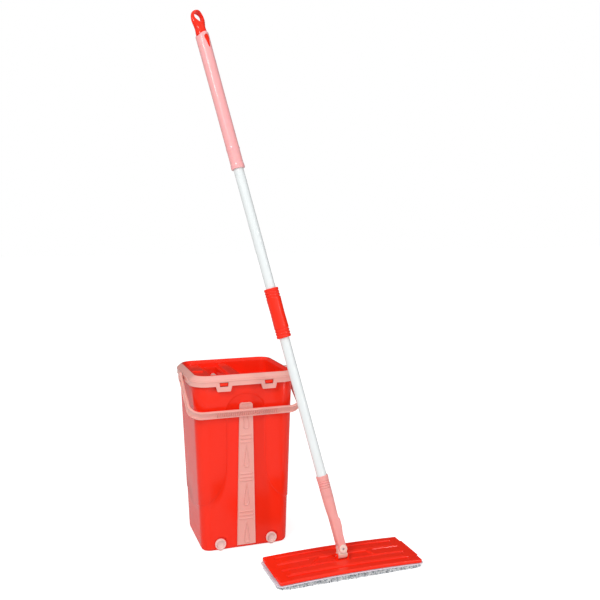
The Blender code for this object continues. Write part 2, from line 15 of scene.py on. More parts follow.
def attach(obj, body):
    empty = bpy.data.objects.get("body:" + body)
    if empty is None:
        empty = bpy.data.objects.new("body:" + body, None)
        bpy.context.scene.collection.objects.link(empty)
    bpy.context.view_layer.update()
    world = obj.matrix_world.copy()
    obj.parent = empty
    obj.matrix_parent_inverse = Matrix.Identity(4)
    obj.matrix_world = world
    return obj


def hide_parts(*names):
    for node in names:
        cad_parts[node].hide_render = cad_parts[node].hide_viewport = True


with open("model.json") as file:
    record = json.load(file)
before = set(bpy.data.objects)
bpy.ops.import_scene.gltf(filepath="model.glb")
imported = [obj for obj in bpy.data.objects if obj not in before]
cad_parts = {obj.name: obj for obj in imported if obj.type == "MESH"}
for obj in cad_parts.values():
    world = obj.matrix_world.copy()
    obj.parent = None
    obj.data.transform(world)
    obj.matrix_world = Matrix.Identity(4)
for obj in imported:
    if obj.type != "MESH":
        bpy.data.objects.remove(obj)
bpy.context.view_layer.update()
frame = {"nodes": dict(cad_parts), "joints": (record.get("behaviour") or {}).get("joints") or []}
JOINTS = {joint["name"]: joint for joint in frame["joints"]}

# Bucket dimensions -----------------------
MOUTH = (0.1080, 0.1025)   # half width and half depth of the mouth
MOUTH_R = 0.027
TUB_TOP_Z = 0.392
TUB_TOP = (0.1137, 0.1050)
TUB_FOOT = (0.1006, 0.0890)
TUB_FOOT_Z = 0.006
TUB_CORNER = (0.022, 0.0075)    # corner radius at the floor, and how much it grows up to the rim
TUB_LIP = 0.0006           # rounding of the upper edge
TUB_WALL = 0.003
TUB_FLOOR = 0.004
PARTITION_Z = 0.300
RELIEF = 0.0013            # the panels at the corners stand this proud of the middle and the foot
LUG_X = 0.0508
BAIL_Z = 0.383
BAIL_HALF = 0.1260
BAIL_REACH = 0.1325
BAIL_CORNER = 0.028
STRAP = (0.0190, 0.0055)
PLUG_X = 0.0590
PLUG_Z = 0.0155
DRAIN_DEPTH = 0.0014       # of the recess round each drain
SLOT = (-0.0600, -0.0275, 0.0760)    # left, right and half length of the squeeze slot
WASH = (0.0480, 0.0860, 0.0820)      # the same for the wash opening
ROLLER_R = 0.0062
ROLLER_AT = (-0.0345, 0, 0.3660)

# Mop dimensions --------------------------
PLATE = (0.322, 0.129)
PLATE_Z = (0.0105, 0.0175)
ARCH = 0.0035
PLATE_CORNER = 0.0040
END_STEP = 0.0032          # the middle of each end stands this far out
GROOVE = 0.0038            # depth of the plate's grooves
PAD_TOP = 0.0080
PAD_CORNER = 0.012         # corner radius of the pile and the hem
PAD_LOW = 0.0008           # the swollen core stays above this
TILT_Z = 0.0245
SWING_UP = 0.0150          # from the tilt pin to the swing pin
PIN_R = 0.0021
PIN_HOLE_R = 0.0024
TUBE_R = 0.01075
BORE_R = TUBE_R + 0.0003   # of the pieces that slide over a tube
SOCKET_END = 0.1595
SOCKET_STEPS = 56          # points round the socket
SLEEVE = (0.4635, 0.572)
GRIP = (0.837, 1.137)
CAP_END = 1.189
CAP_STEPS = 64             # points round the cap
CAP_TURN = radians(26)

random.seed(11)


# Places ----------------------------------
def basis(origin, x, y, z):
    """The matrix that puts a piece's own axes along x, y and z at origin."""
    made = Matrix((x, y, z)).transposed().to_4x4()
    made.translation = origin
    return made


def pole_places():
    """Matrices of the mop head, the knuckle and the pole, read from the joints."""
    tilt_at = Vector(JOINTS["knuckle_tilt"]["pos_m"])
    tilt_x = Vector(JOINTS["knuckle_tilt"]["axis"]).normalized()
    swing_at = Vector(JOINTS["pole_swing"]["pos_m"])
    swing_y = Vector(JOINTS["pole_swing"]["axis"]).normalized()
    along = Vector(JOINTS["pole_draw"]["axis"]).normalized()
    up = Vector((0, 0, 1))
    head = basis(Vector((tilt_at.x, tilt_at.y, 0)), tilt_x, up.cross(tilt_x), up)
    knuckle = basis(tilt_at, tilt_x, swing_y, tilt_x.cross(swing_y))
    pole = basis(swing_at, swing_y.cross(along), swing_y, along)
    return head, knuckle, pole


HEAD, KNUCKLE, POLE = pole_places()
BAIL_REST = radians(-59.5)
BAIL = Matrix.Translation((0, 0, BAIL_Z)) @ Matrix.Rotation(BAIL_REST, 4, "X")
POLE_TOP = POLE @ Matrix.Rotation(CAP_TURN, 4, "Z")
UP_TO_FRONT = Matrix.Rotation(pi / 2, 4, "X")
FACES = (Matrix(), Matrix.Rotation(pi, 4, "Z"))    # turns to the bucket's front and to its back


# Materials -------------------------------
def principled(name, **values):
    """A new material and its Principled shader, with the shader's plain values set by name."""
    made = bpy.data.materials.new(name)
    made.use_nodes = True
    shader = made.node_tree.nodes["Principled BSDF"]
    for key, value in values.items():
        shader.inputs[key.replace("_", " ")].default_value = value
    return made, shader


def add_node(material, kind, **inputs):
    node = material.node_tree.nodes.new(kind)
    for key, value in inputs.items():
        node.inputs[key.replace("_", " ")].default_value = value
    return node


def link(material, source, target):
    material.node_tree.links.new(source, target)


def object_noise(material, scale, detail, roughness=0.5, stretch=(1, 1, 1)):
    """Noise over the piece's own coordinates."""
    place = add_node(material, "ShaderNodeTexCoord")
    mapping = add_node(material, "ShaderNodeMapping", Scale=stretch)
    made = add_node(material, "ShaderNodeTexNoise", Scale=scale, Detail=detail, Roughness=roughness)
    link(material, place.outputs["Object"], mapping.inputs["Vector"])
    link(material, mapping.outputs["Vector"], made.inputs["Vector"])
    return made


def vary(material, source, low, high):
    """Map a 0 to 1 value to a range."""
    node = add_node(material, "ShaderNodeMapRange", To_Min=low, To_Max=high)
    link(material, source, node.inputs["Value"])
    return node.outputs["Result"]


def two_tone(material, shader, share, low, high):
    """Mix two base colours by a 0 to 1 value."""
    mix = add_node(material, "ShaderNodeMix")
    mix.data_type = "RGBA"
    mix.inputs["A"].default_value = (*low, 1)
    mix.inputs["B"].default_value = (*high, 1)
    link(material, share, mix.inputs["Factor"])
    link(material, mix.outputs["Result"], shader.inputs["Base Color"])


def bumped(material, shader, height, strength, distance):
    """Let a height roughen the surface."""
    bump = add_node(material, "ShaderNodeBump", Strength=strength, Distance=distance)
    link(material, height, bump.inputs["Height"])
    link(material, bump.outputs["Normal"], shader.inputs["Normal"])


def moulded(name, color, deep, roughness, grain=0.02, grain_scale=900, subsurface=0.0, coat=0.0):
    """Moulded plastic: faint flow marks in the colour, handling marks in the gloss, and a fine grain."""
    made, shader = principled(name, IOR=1.36, Subsurface_Weight=subsurface, Subsurface_Scale=0.004,
                              Coat_Weight=coat, Coat_Roughness=0.07)
    flow = object_noise(made, 9.0, 2.0, 0.4, (1.0, 1.0, 0.45))
    two_tone(made, shader, vary(made, flow.outputs["Fac"], 0.15, 0.95), deep, color)
    marks = object_noise(made, 38.0, 6.0, 0.65)
    gloss = vary(made, marks.outputs["Fac"], roughness - 0.06, roughness + 0.08)
    link(made, gloss, shader.inputs["Roughness"])
    fine = object_noise(made, grain_scale, 2.0)
    bumped(made, shader, fine.outputs["Fac"], grain, 0.0002)
    return made


def coated_tube():
    """White powder-coated steel with a fine orange-peel skin."""
    made, shader = principled("tube_white", Base_Color=(0.80, 0.84, 0.84, 1), Roughness=0.22, IOR=1.5,
                              Coat_Weight=0.4, Coat_Roughness=0.08)
    peel = object_noise(made, 520, 3.0)
    bumped(made, shader, peel.outputs["Fac"], 0.05, 0.0003)
    wear = object_noise(made, 60, 5.0, 0.6)
    link(made, vary(made, wear.outputs["Fac"], 0.16, 0.30), shader.inputs["Roughness"])
    return made


def drawn_steel():
    made, shader = principled("pin_steel", Base_Color=(0.62, 0.62, 0.64, 1), Metallic=1.0, Roughness=0.3)
    lines = object_noise(made, 700, 3.0, 0.5, (1.0, 0.05, 1.0))
    link(made, vary(made, lines.outputs["Fac"], 0.22, 0.42), shader.inputs["Roughness"])
    return made


def cloth(name, light, dark, scale=1400, sheen=0.3):
    """Knitted cloth: a fine over-and-under height and speckled yarn colour."""
    made, shader = principled(name, Roughness=0.95, Sheen_Weight=sheen, Sheen_Roughness=0.5)
    speckle = object_noise(made, 620, 4.0, 0.7)
    two_tone(made, shader, vary(made, speckle.outputs["Fac"], -0.7, 1.6), dark, light)
    weave = add_node(made, "ShaderNodeTexVoronoi", Scale=scale)
    place = add_node(made, "ShaderNodeTexCoord")
    link(made, place.outputs["Object"], weave.inputs["Vector"])
    bumped(made, shader, weave.outputs["Distance"], 0.6, 0.0004)
    return made


def pile_yarn():
    """Microfibre yarn whose shade differs from tuft to tuft, kept in the mesh as a colour."""
    made, shader = principled("pad_pile", Roughness=0.92, Sheen_Weight=0.45, Sheen_Roughness=0.4)
    shade = made.node_tree.nodes.new("ShaderNodeVertexColor")
    shade.layer_name = "shade"
    link(made, shade.outputs["Color"], shader.inputs["Base Color"])
    fibre = object_noise(made, 1500, 3.0, 0.6)
    bumped(made, shader, fibre.outputs["Fac"], 0.5, 0.0003)
    return made


RED = moulded("red_plastic", (0.97, 0.030, 0.008), (0.93, 0.019, 0.005), 0.19)
PINK = moulded("pink_plastic", (0.86, 0.43, 0.375), (0.82, 0.385, 0.335), 0.24, subsurface=0.08, coat=0.2)
PALE = moulded("pale_plastic", (0.88, 0.70, 0.62), (0.84, 0.64, 0.56), 0.38, subsurface=0.1)
SOFT = moulded("soft_plug", (0.88, 0.62, 0.58), (0.84, 0.57, 0.53), 0.42, subsurface=0.15)
GRIP_PINK = moulded("grip_pink", (0.93, 0.44, 0.44), (0.90, 0.39, 0.395), 0.30, grain=0.05, grain_scale=1300,
                    subsurface=0.08, coat=0.2)
SOCKET_PINK = moulded("socket_pink", (0.88, 0.38, 0.355), (0.84, 0.335, 0.31), 0.36, subsurface=0.08)
WASHER = moulded("washer_grey", (0.36, 0.37, 0.38), (0.30, 0.31, 0.32), 0.55)
TUBE_WHITE = coated_tube()
STEEL = drawn_steel()
BACKING = cloth("pad_cloth", (0.86, 0.85, 0.91), (0.68, 0.67, 0.76))
TAPE = cloth("hook_tape", (0.10, 0.10, 0.11), (0.03, 0.03, 0.035), 2200, 0.0)
PILE = pile_yarn()


# Mesh helpers ----------------------------
def skin(name, rings, close=False):
    """Quads between rings of points; the ends are capped, or close joins the last ring to the first."""
    count = len(rings[0])
    verts = [tuple(point) for ring in rings for point in ring]
    faces = []
    for k in range(len(rings) if close else len(rings) - 1):
        low, high = k * count, (k + 1) % len(rings) * count
        for i in range(count):
            j = (i + 1) % count
            faces.append((low + i, low + j, high + j, high + i))
    if not close:
        faces.append(tuple(range(count))[::-1])
        last = (len(rings) - 1) * count
        faces.append(tuple(range(last, last + count)))
    mesh = bpy.data.meshes.new(name)
    mesh.from_pydata(verts, [], faces)
    return outward(mesh)


def outward(mesh):
    bm = bmesh.new()
    bm.from_mesh(mesh)
    bmesh.ops.recalc_face_normals(bm, faces=bm.faces)
    bm.to_mesh(mesh)
    bm.free()
    return mesh


def fillet(points, radius, steps=4, closed=True):
    """Round a 2D outline's corners; radius is one number or one for each point."""
    count = len(points)
    radii = [radius] * count if isinstance(radius, (int, float)) else radius
    made = []
    for i, point in enumerate(points):
        if not closed and i in (0, count - 1):
            made.append(tuple(point))
            continue
        corner = Vector(point)
        back, on = Vector(points[i - 1]) - corner, Vector(points[(i + 1) % count]) - corner
        half = back.angle(on) / 2
        cut = min(radii[i] / tan(half), back.length * 0.48, on.length * 0.48)
        start, end = corner + back.normalized() * cut, corner + on.normalized() * cut
        if cut < 1e-6 or half > radians(88):
            made.append(tuple(point))
            continue
        for k in range(steps + 1):
            t = k / steps
            made.append(tuple(start * (1 - t) ** 2 + corner * 2 * t * (1 - t) + end * t ** 2))
    return made


def rounded_rect(half_w, half_d, radius, z, steps):
    points = []
    for sx, sy, start in ((1, 1, 0), (-1, 1, 90), (-1, -1, 180), (1, -1, 270)):
        for k in range(steps + 1):
            angle = radians(start + 90 * k / steps)
            points.append((sx * (half_w - radius) + radius * cos(angle),
                           sy * (half_d - radius) + radius * sin(angle), z))
    return points


def mouth_ring(offset, z):
    """The bucket's mouth, widened by offset."""
    return rounded_rect(MOUTH[0] + offset, MOUTH[1] + offset, MOUTH_R + offset, z, 12)


def around(count):
    """The angles of even steps round a circle."""
    return [2 * pi * k / count for k in range(count)]


def circle(radius, z, steps):
    return [(radius * cos(a), radius * sin(a), z) for a in around(steps)]


def lathe(name, profile, steps, close=True):
    """Turn (radius, height) points about Z."""
    return skin(name, [circle(radius, z, steps) for radius, z in profile], close=close)


def rounded_box(name, low, high, radius):
    bm = bmesh.new()
    bmesh.ops.create_cube(bm, size=1.0)
    bmesh.ops.scale(bm, vec=Vector(high) - Vector(low), verts=bm.verts)
    bmesh.ops.translate(bm, vec=(Vector(high) + Vector(low)) / 2, verts=bm.verts)
    bmesh.ops.bevel(bm, geom=bm.edges[:], offset=radius, segments=3, profile=0.5, affect="EDGES")
    mesh = bpy.data.meshes.new(name)
    bm.to_mesh(mesh)
    bm.free()
    return mesh


def prism(name, outline, low, high, axis="Z", radius=0.0):
    """A solid from a flat outline, between two levels along an axis, its corners rounded by radius."""
    flat = fillet(outline, radius) if radius else outline
    order = {"X": (2, 0, 1), "Y": (0, 2, 1), "Z": (0, 1, 2)}[axis]
    return skin(name, [[[(a, b, level)[i] for i in order] for a, b in flat] for level in (low, high)])


def rod(name, radius, length, axis, steps, at=(0, 0, 0), edge=0.0):
    """A cylinder centred on a point, its end edges rounded by edge."""
    half = length / 2
    profile = [(radius, half), (radius, -half)]
    if edge:
        profile = [(radius - edge, half), (radius, half - edge),
                   (radius, edge - half), (radius - edge, -half)]
    mesh = lathe(name, profile, steps, close=False)
    turns = {"X": Matrix.Rotation(pi / 2, 4, "Y"), "Y": UP_TO_FRONT, "Z": Matrix()}
    mesh.transform(Matrix.Translation(at) @ turns[axis])
    return mesh


def apply_modifiers(obj):
    """Replace an object's mesh with what its modifiers make of it."""
    bpy.context.view_layer.update()
    graph = bpy.context.evaluated_depsgraph_get()
    mesh = bpy.data.meshes.new_from_object(obj.evaluated_get(graph))
    obj.modifiers.clear()
    obj.data = mesh


def workpiece(name, mesh):
    obj = bpy.data.objects.new(name, mesh)
    bpy.context.scene.collection.objects.link(obj)
    return obj


def carve(obj, mesh, operation="DIFFERENCE"):
    """Cut an object with a mesh, or join or clip it, at once."""
    cutter = workpiece("cutter", outward(mesh))
    boolean = obj.modifiers.new("cut", "BOOLEAN")
    boolean.object = cutter
    boolean.operation = operation
    boolean.solver = "EXACT"
    apply_modifiers(obj)
    bpy.data.objects.remove(cutter)


def join(obj, mesh):
    carve(obj, mesh, "UNION")


def add_remesh(obj, voxel):
    remesh = obj.modifiers.new("remesh", "REMESH")
    remesh.mode = "VOXEL"
    remesh.voxel_size = voxel


def soften(obj, voxel, rounds):
    """Melt an object's joins and edges together, as a mould's rounded corners do."""
    add_remesh(obj, voxel)
    smooth = obj.modifiers.new("smooth", "SMOOTH")
    smooth.factor = 0.5
    smooth.iterations = rounds
    apply_modifiers(obj)


def settle(obj, material, body, slot, replaces=(), place=None, angle=38):
    """Finish a piece: put it in place, shade it, tie it to its body, and hide the CAD nodes it replaces; slot
    is not used.
    """
    if place is not None:
        obj.data.transform(place)
    obj.data.materials.clear()
    obj.data.materials.append(material)
    obj.data.shade_smooth()
    obj.data.set_sharp_from_angle(angle=radians(angle))
    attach(obj, body)
    if replaces:
        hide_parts(*replaces)
    return obj


def piece(name, mesh, material, body, slot, **more):
    return settle(workpiece(name, mesh), material, body, slot, **more)


def smooth_step(value, low, high):
    part = min(max((value - low) / (high - low), 0.0), 1.0)
    return part * part * (3 - 2 * part)


# Tub -------------------------------------
# A run goes along a quarter of the wall, from the front's middle to the side's: straight to
# FRONT_KEEP, round the corner from FRONT_END to SIDE_START, and straight again from SIDE_KEEP.
FRONT_KEEP, FRONT_END, SIDE_START, SIDE_KEEP, SIDE_MIDDLE = 0.070, 0.082, 0.122, 0.132, 0.192
FOOT_EDGE = 0.0085         # height where the foot's rounding ends


def tub_half(z):
    part = (z - TUB_FOOT_Z) / (TUB_TOP_Z - TUB_FOOT_Z)
    return tuple(foot + (top - foot) * part for foot, top in zip(TUB_FOOT, TUB_TOP))


def tub_point(run, z, inset):
    """A point on the front right quarter of the tub's wall, at a run and a height."""
    half_w, half_d = (half - inset for half in tub_half(z))
    radius = TUB_CORNER[0] + TUB_CORNER[1] * z / TUB_TOP_Z - inset
    flat_w, flat_d = half_w - radius, half_d - radius
    if run <= FRONT_KEEP:
        return run, -half_d
    if run <= FRONT_END:
        past = run - FRONT_KEEP
        return FRONT_KEEP + (flat_w - FRONT_KEEP) * past / (FRONT_END - FRONT_KEEP), -half_d
    if run <= SIDE_START:
        angle = pi / 2 * (run - FRONT_END) / (SIDE_START - FRONT_END)
        return flat_w + radius * sin(angle), -flat_d - radius * cos(angle)
    kept = SIDE_MIDDLE - SIDE_KEEP
    if run <= SIDE_KEEP:
        return half_w, -flat_d + (flat_d - kept) * (run - SIDE_START) / (SIDE_KEEP - SIDE_START)
    return half_w, run - SIDE_MIDDLE


def relief_line():
    """The raised panels' edge on one quarter, as (run, height): an arch, a straight side and a flare."""
    crown = [(0.0430 * sin(radians(a)), 0.320 + 0.036 * cos(radians(a))) for a in range(0, 90, 6)]
    flare = [(0.0432, 0.300), (0.0433, 0.240), (0.0440, 0.190), (0.0490, 0.163), (0.0640, 0.132),
             (0.0873, 0.1125), (0.1220, 0.1030), (0.1720, 0.0920), (SIDE_MIDDLE, 0.0905)]
    points = [Vector(p) for p in crown + flare]
    mirrored = Vector((2 * SIDE_MIDDLE - flare[-2][0], flare[-2][1]))
    points = [points[0] * 2 - points[1]] + points + [mirrored]
    spacing = 0.0026
    line = []
    for a, b, c, d in zip(points, points[1:], points[2:], points[3:]):
        steps = max(1, round((c - b).length / spacing))
        for k in range(steps):
            t = k / steps
            line.append(b + (c - a) * t / 2 + (a * 2 - b * 5 + c * 4 - d) * t * t / 2
                        + (b * 3 - a - c * 3 + d) * t ** 3 / 2)
    return line + [points[-2]]


def tub_columns():
    """Columns of (run, height, inset) for a quarter, from the foot over the panel's edge to the rim."""
    line = relief_line()
    runs = [p.x for p in line]
    lengths = [0.0]
    for a, b in zip(line, line[1:]):
        lengths.append(lengths[-1] + (b - a).length)
    crown_end = next(s for s, p in zip(lengths, line) if p.y < 0.318)
    flare_start = next(s for s, p in zip(lengths, line) if p.y < 0.190)
    joined = next(s for s, p in zip(lengths, line) if p.x >= FRONT_KEEP)
    keys = [0.0, crown_end, flare_start, joined]
    foot_runs = np.interp(lengths, keys, [0.0, 0.022, 0.040, FRONT_KEEP])
    rim_runs = np.interp(lengths, keys, [0.0, 0.0445, 0.053, FRONT_KEEP])
    foot = [(0.0, 0.0062), (0.0005, 0.0041), (0.0021, 0.0019), (0.0046, 0.0006), (FOOT_EDGE, 0.0)]
    inside = ((0.0003, TUB_TOP_Z), (TUB_WALL - 0.0003, TUB_TOP_Z), (TUB_WALL, TUB_TOP_Z - TUB_LIP),
              (TUB_WALL, 0.012), (TUB_WALL + 0.0012, 0.0068), (TUB_WALL + 0.0050, TUB_FLOOR))
    edge = 0.0011
    columns = []
    for k, point in enumerate(line):
        tangent = (line[min(k + 1, len(line) - 1)] - line[max(k - 1, 0)]).normalized()
        normal = Vector((-tangent.y, tangent.x))
        low_run, high_run = (foot_runs[k], rim_runs[k]) if lengths[k] < joined else (point.x, point.x)
        if k in (0, len(line) - 1):
            normal, low_run, high_run = Vector((0, 1)), runs[k], runs[k]
        under, over = point - normal * edge, point + normal * edge
        column = [(low_run, z, inset + RELIEF) for z, inset in foot]
        for t in (0.2, 0.4, 0.6, 0.8, 1.0):
            z = FOOT_EDGE + (under.y - FOOT_EDGE) * t
            column.append((low_run + (under.x - low_run) * t, z, RELIEF))
        for t in (0.3, 0.5, 0.7, 1.0):
            spot = under.lerp(over, t)
            column.append((spot.x, spot.y, RELIEF * (1 - smooth_step(t, 0.0, 1.0))))
        for t in (0.25, 0.5, 0.75, 1.0):
            z = over.y + (TUB_TOP_Z - TUB_LIP - over.y) * t
            column.append((over.x + (high_run - over.x) * t, z, 0.0))
        for inset, z in inside:
            column.append((high_run if z > PARTITION_Z else low_run, z, inset))
        columns.append(column)
    return columns


def tub_mesh():
    quarter = tub_columns()
    ring_columns = []
    for sx, sy, order in ((1, 1, 1), (1, -1, -1), (-1, -1, 1), (-1, 1, -1)):
        columns = quarter[::order]
        for column in columns[:-1]:
            points = []
            for run, z, inset in column:
                x, y = tub_point(min(max(run, 0.0), SIDE_MIDDLE), z, inset)
                points.append((sx * x, sy * y, z))
            ring_columns.append(points)
    rings = [list(ring) for ring in zip(*ring_columns)]
    return skin("bucket_tub_shell", rings)


def make_tub():
    tub = workpiece("bucket_tub_shell", tub_mesh())
    wall = []
    for z in (TUB_FLOOR - 0.001, PARTITION_Z - 0.0008, PARTITION_Z):
        half = 0.0013 if z < PARTITION_Z else 0.0006
        reach = tub_half(max(z, TUB_FOOT_Z))[1] - TUB_WALL / 2
        wall.append([(half, reach, z), (-half, reach, z), (-half, -reach, z), (half, -reach, z)])
    join(tub, skin("partition", wall))
    for side in (-1, 1):
        add_drain(tub, side * PLUG_X)
        for turn in FACES:
            low, high = (side * LUG_X - 0.0085, -0.1145, 0.3781), (side * LUG_X + 0.0085, -0.1030, 0.3844)
            catch = rounded_box("catch", low, high, 0.0009)
            catch.transform(turn)
            join(tub, catch)
    settle(tub, RED, "bucket", "red_plastic", replaces=["bucket_tub"], angle=30)


def add_drain(tub, x):
    """A drain hole through a boss, in a shallow arched recess."""
    wall, boss, recess = -tub_half(PLUG_Z)[1], 0.0150, 0.0160
    join(tub, rod("boss", boss, 0.0075, "Y", 56, (x, wall + 0.0053, PLUG_Z), 0.0005))
    turns = [radians(a) for a in range(-36, 217, 6)]
    outline = [(x + recess * cos(a), PLUG_Z + recess * sin(a)) for a in turns]
    outline += [(x - 0.0100, -0.006), (x + 0.0100, -0.006)]
    carve(tub, prism("recess", outline, wall - 0.02, wall + RELIEF + DRAIN_DEPTH, "Y"))
    carve(tub, rod("hole", 0.0068, 0.0300, "Y", 40, (x, wall, PLUG_Z)))


def make_plug(name, body, x):
    """A soft drain plug: a deep cup with a rolled rim, a pull tail and a ribbed stem."""
    seat = -tub_half(PLUG_Z)[1] + RELIEF + DRAIN_DEPTH
    cup = [(0.0002, 0.0008), (0.0060, 0.0008), (0.0084, 0.0018), (0.0092, 0.0054), (0.0102, 0.0064),
           (0.0118, 0.0056), (0.0126, 0.0036), (0.0122, 0.0006), (0.0110, 0.0), (0.0064, 0.0),
           (0.0062, -0.0030), (0.0064, -0.0042), (0.0062, -0.0052), (0.0062, -0.0094),
           (0.0048, -0.0110), (0.0002, -0.0110)]
    plug = workpiece(name, lathe(name, fillet(cup, 0.0005, 3, False), 64, close=False))
    tail = prism("tail", [(-0.0056, -0.0080), (0.0056, -0.0080), (0.0046, -0.0128), (0.0036, -0.0148),
                          (-0.0036, -0.0148), (-0.0046, -0.0128)], 0.0010, 0.0046, radius=0.0014)
    join(plug, tail)
    carve(plug, rod("cup", 0.0082, 0.0100, "Z", 48, (0, 0, 0.0062), 0.0006))
    soften(plug, 0.0004, 2)
    place = Matrix.Translation((x, seat, PLUG_Z)) @ UP_TO_FRONT
    settle(plug, SOFT, body, "soft_plug", replaces=[name.replace("_cup", "")], place=place)


# Front strip -----------------------------
def strip_height(across, up, half):
    """Height of the strip's face: raised edges, three-rib groups and drop-shaped outlines between them."""
    edge = half - abs(across)
    height = 0.0006 * (1 - smooth_step(edge, 0.0010, 0.0018))
    inner = smooth_step(edge, 0.0030, 0.0042)
    for group in (0.0700, 0.1585, 0.2470, 0.3355):
        for k in (-1, 0, 1):
            gap = abs(up - group - 0.0082 * k)
            height += 0.0019 * inner * (1 - smooth_step(gap, 0.0010, 0.0020))
    for bottom in (0.0040, 0.0925, 0.1810, 0.2695):
        height += 0.0018 * drop_outline(across, up - bottom)
    return height


def drop_outline(across, up):
    """1 on the outline of a long drop with a round foot and a pointed top, 0 away from it."""
    foot, tip = 0.0062, 0.0500
    if up < foot:
        away = hypot(across, up - foot) - foot
    else:
        width = foot * (1 - ((up - foot) / (tip - foot)) ** 1.25) if up < tip else 0.0
        away = (abs(across) - width) * 0.97 if up < tip else hypot(across, up - tip)
    return 1 - smooth_step(abs(away), 0.0005, 0.0012)


def make_strip():
    """The trim strip: it narrows upwards to a round-cornered top, and its face is embossed."""
    foot, top, corner, low, high = 0.0212, 0.0148, 0.0065, 0.0080, 0.3365
    side, face_lift = 0.0017, 0.0024
    rise = high - low
    slope = atan2(TUB_TOP[1] - TUB_FOOT[1], TUB_TOP_Z - TUB_FOOT_Z)
    rows = []
    ups = list(np.arange(0.0, rise - corner, 0.0008))
    ups += [rise - corner * (1 - sin(a)) for a in np.linspace(0, pi / 2, 9)]
    shares = [-1, -0.995] + list(np.linspace(-0.975, 0.975, 53)) + [0.995, 1]
    for up in ups:
        half = foot + (top - foot) * up / rise
        past = max(up - (rise - corner), 0.0)
        half += sqrt(max(corner ** 2 - past ** 2, 0.0)) - corner
        ends = min(smooth_step(up, -0.0006, 0.0008), smooth_step(rise - up, -0.0006, 0.0008))
        face = []
        for share in shares:
            across = share * half
            lift = face_lift + strip_height(across, up, half) if abs(share) < 1 else side
            face.append((across, up, side + (lift - side) * ends))
        back = [(half, up, -RELIEF + 0.0001), (-half, up, -RELIEF + 0.0001)]
        rows.append(face + back)
    lean = Matrix.Rotation(pi / 2 + slope, 4, "X")
    place = Matrix.Translation((0, -tub_half(low)[1] - 0.0002, low)) @ lean
    piece("front_strip_embossed", skin("front_strip_embossed", rows), PINK, "bucket", "pink_plastic",
          replaces=["front_strip"], place=place, angle=50)


# Rim frame and bail ----------------------
def add_lug(rim, x, skirt_y, turn):
    """A snap lug with a window, on the front or the back of the skirt."""
    plate = [(x - 0.0146, 0.3658), (x + 0.0146, 0.3658), (x + 0.0176, 0.3764), (x + 0.0150, 0.3868),
             (x - 0.0150, 0.3868), (x - 0.0176, 0.3764)]
    opening = [(x - 0.0090, 0.3764), (x + 0.0090, 0.3764), (x + 0.0104, 0.3858), (x - 0.0104, 0.3858)]
    lug = prism("lug", plate, -skirt_y - 0.0007, -skirt_y + 0.0040, "Y", 0.0022)
    window = prism("window", opening, -skirt_y - 0.01, -skirt_y + 0.006, "Y", 0.0012)
    lug.transform(turn)
    window.transform(turn)
    join(rim, lug)
    carve(rim, window)


def make_rim():
    """The frame: a wide sloped flange, a bead and a groove under it, a skirt, lugs and ears."""
    skirt = 0.0116
    profile = [(0.0001, 0.4000), (0.0020, 0.4000), (skirt + 0.0002, 0.3918), (skirt - 0.0005, 0.3907),
               (0.0127, 0.3893), (0.0127, 0.3878), (skirt, 0.3868), (skirt, 0.3790), (skirt + 0.0005, 0.3783),
               (skirt + 0.0003, 0.3775), (0.0080, 0.3775), (0.0080, TUB_TOP_Z + 0.0003),
               (-0.0042, TUB_TOP_Z + 0.0003), (-0.0042, 0.3943), (0.0001, 0.3943)]
    radii = [0.0005, 0.0030, 0.0012, 0.0004, 0.0006, 0.0006, 0.0006, 0.0004, 0.0004, 0.0003] + [0.0002] * 5
    rounded = fillet(profile, radii, 3)
    rim = workpiece("rim_frame_moulding", skin("rim", [mouth_ring(o, z) for o, z in rounded], close=True))
    for side in (-1, 1):
        for turn in FACES:
            add_lug(rim, side * LUG_X, MOUTH[1] + skirt, turn)
        at_ear = (side * (MOUTH[0] + skirt - 0.0014), 0, BAIL_Z)
        join(rim, rod("ear", 0.0085, 0.0036, "X", 48, at_ear, 0.0005))
        carve(rim, rod("hole", 0.0043, 0.0120, "X", 40, at_ear))
    settle(rim, PINK, "bucket", "pink_plastic", replaces=["rim_frame"], angle=32)


def bail_section(rib):
    """The strap's section as (out, across): a channel between two rolled edges, its floor raised by rib."""
    half, thick, lip, floor = STRAP[0] / 2, STRAP[1] / 2, 0.0028, 0.0025
    bed = thick - floor + rib
    outline = [(thick, -half), (thick, -half + lip), (bed, -half + lip + 0.0007), (bed, 0.0),
               (bed, half - lip - 0.0007), (thick, half - lip), (thick, half), (-thick, half),
               (-thick, -half)]
    return fillet(outline, [0.0011, 0.0009, 0.0004, 0.0, 0.0004, 0.0009, 0.0011, 0.0012, 0.0012], 3)


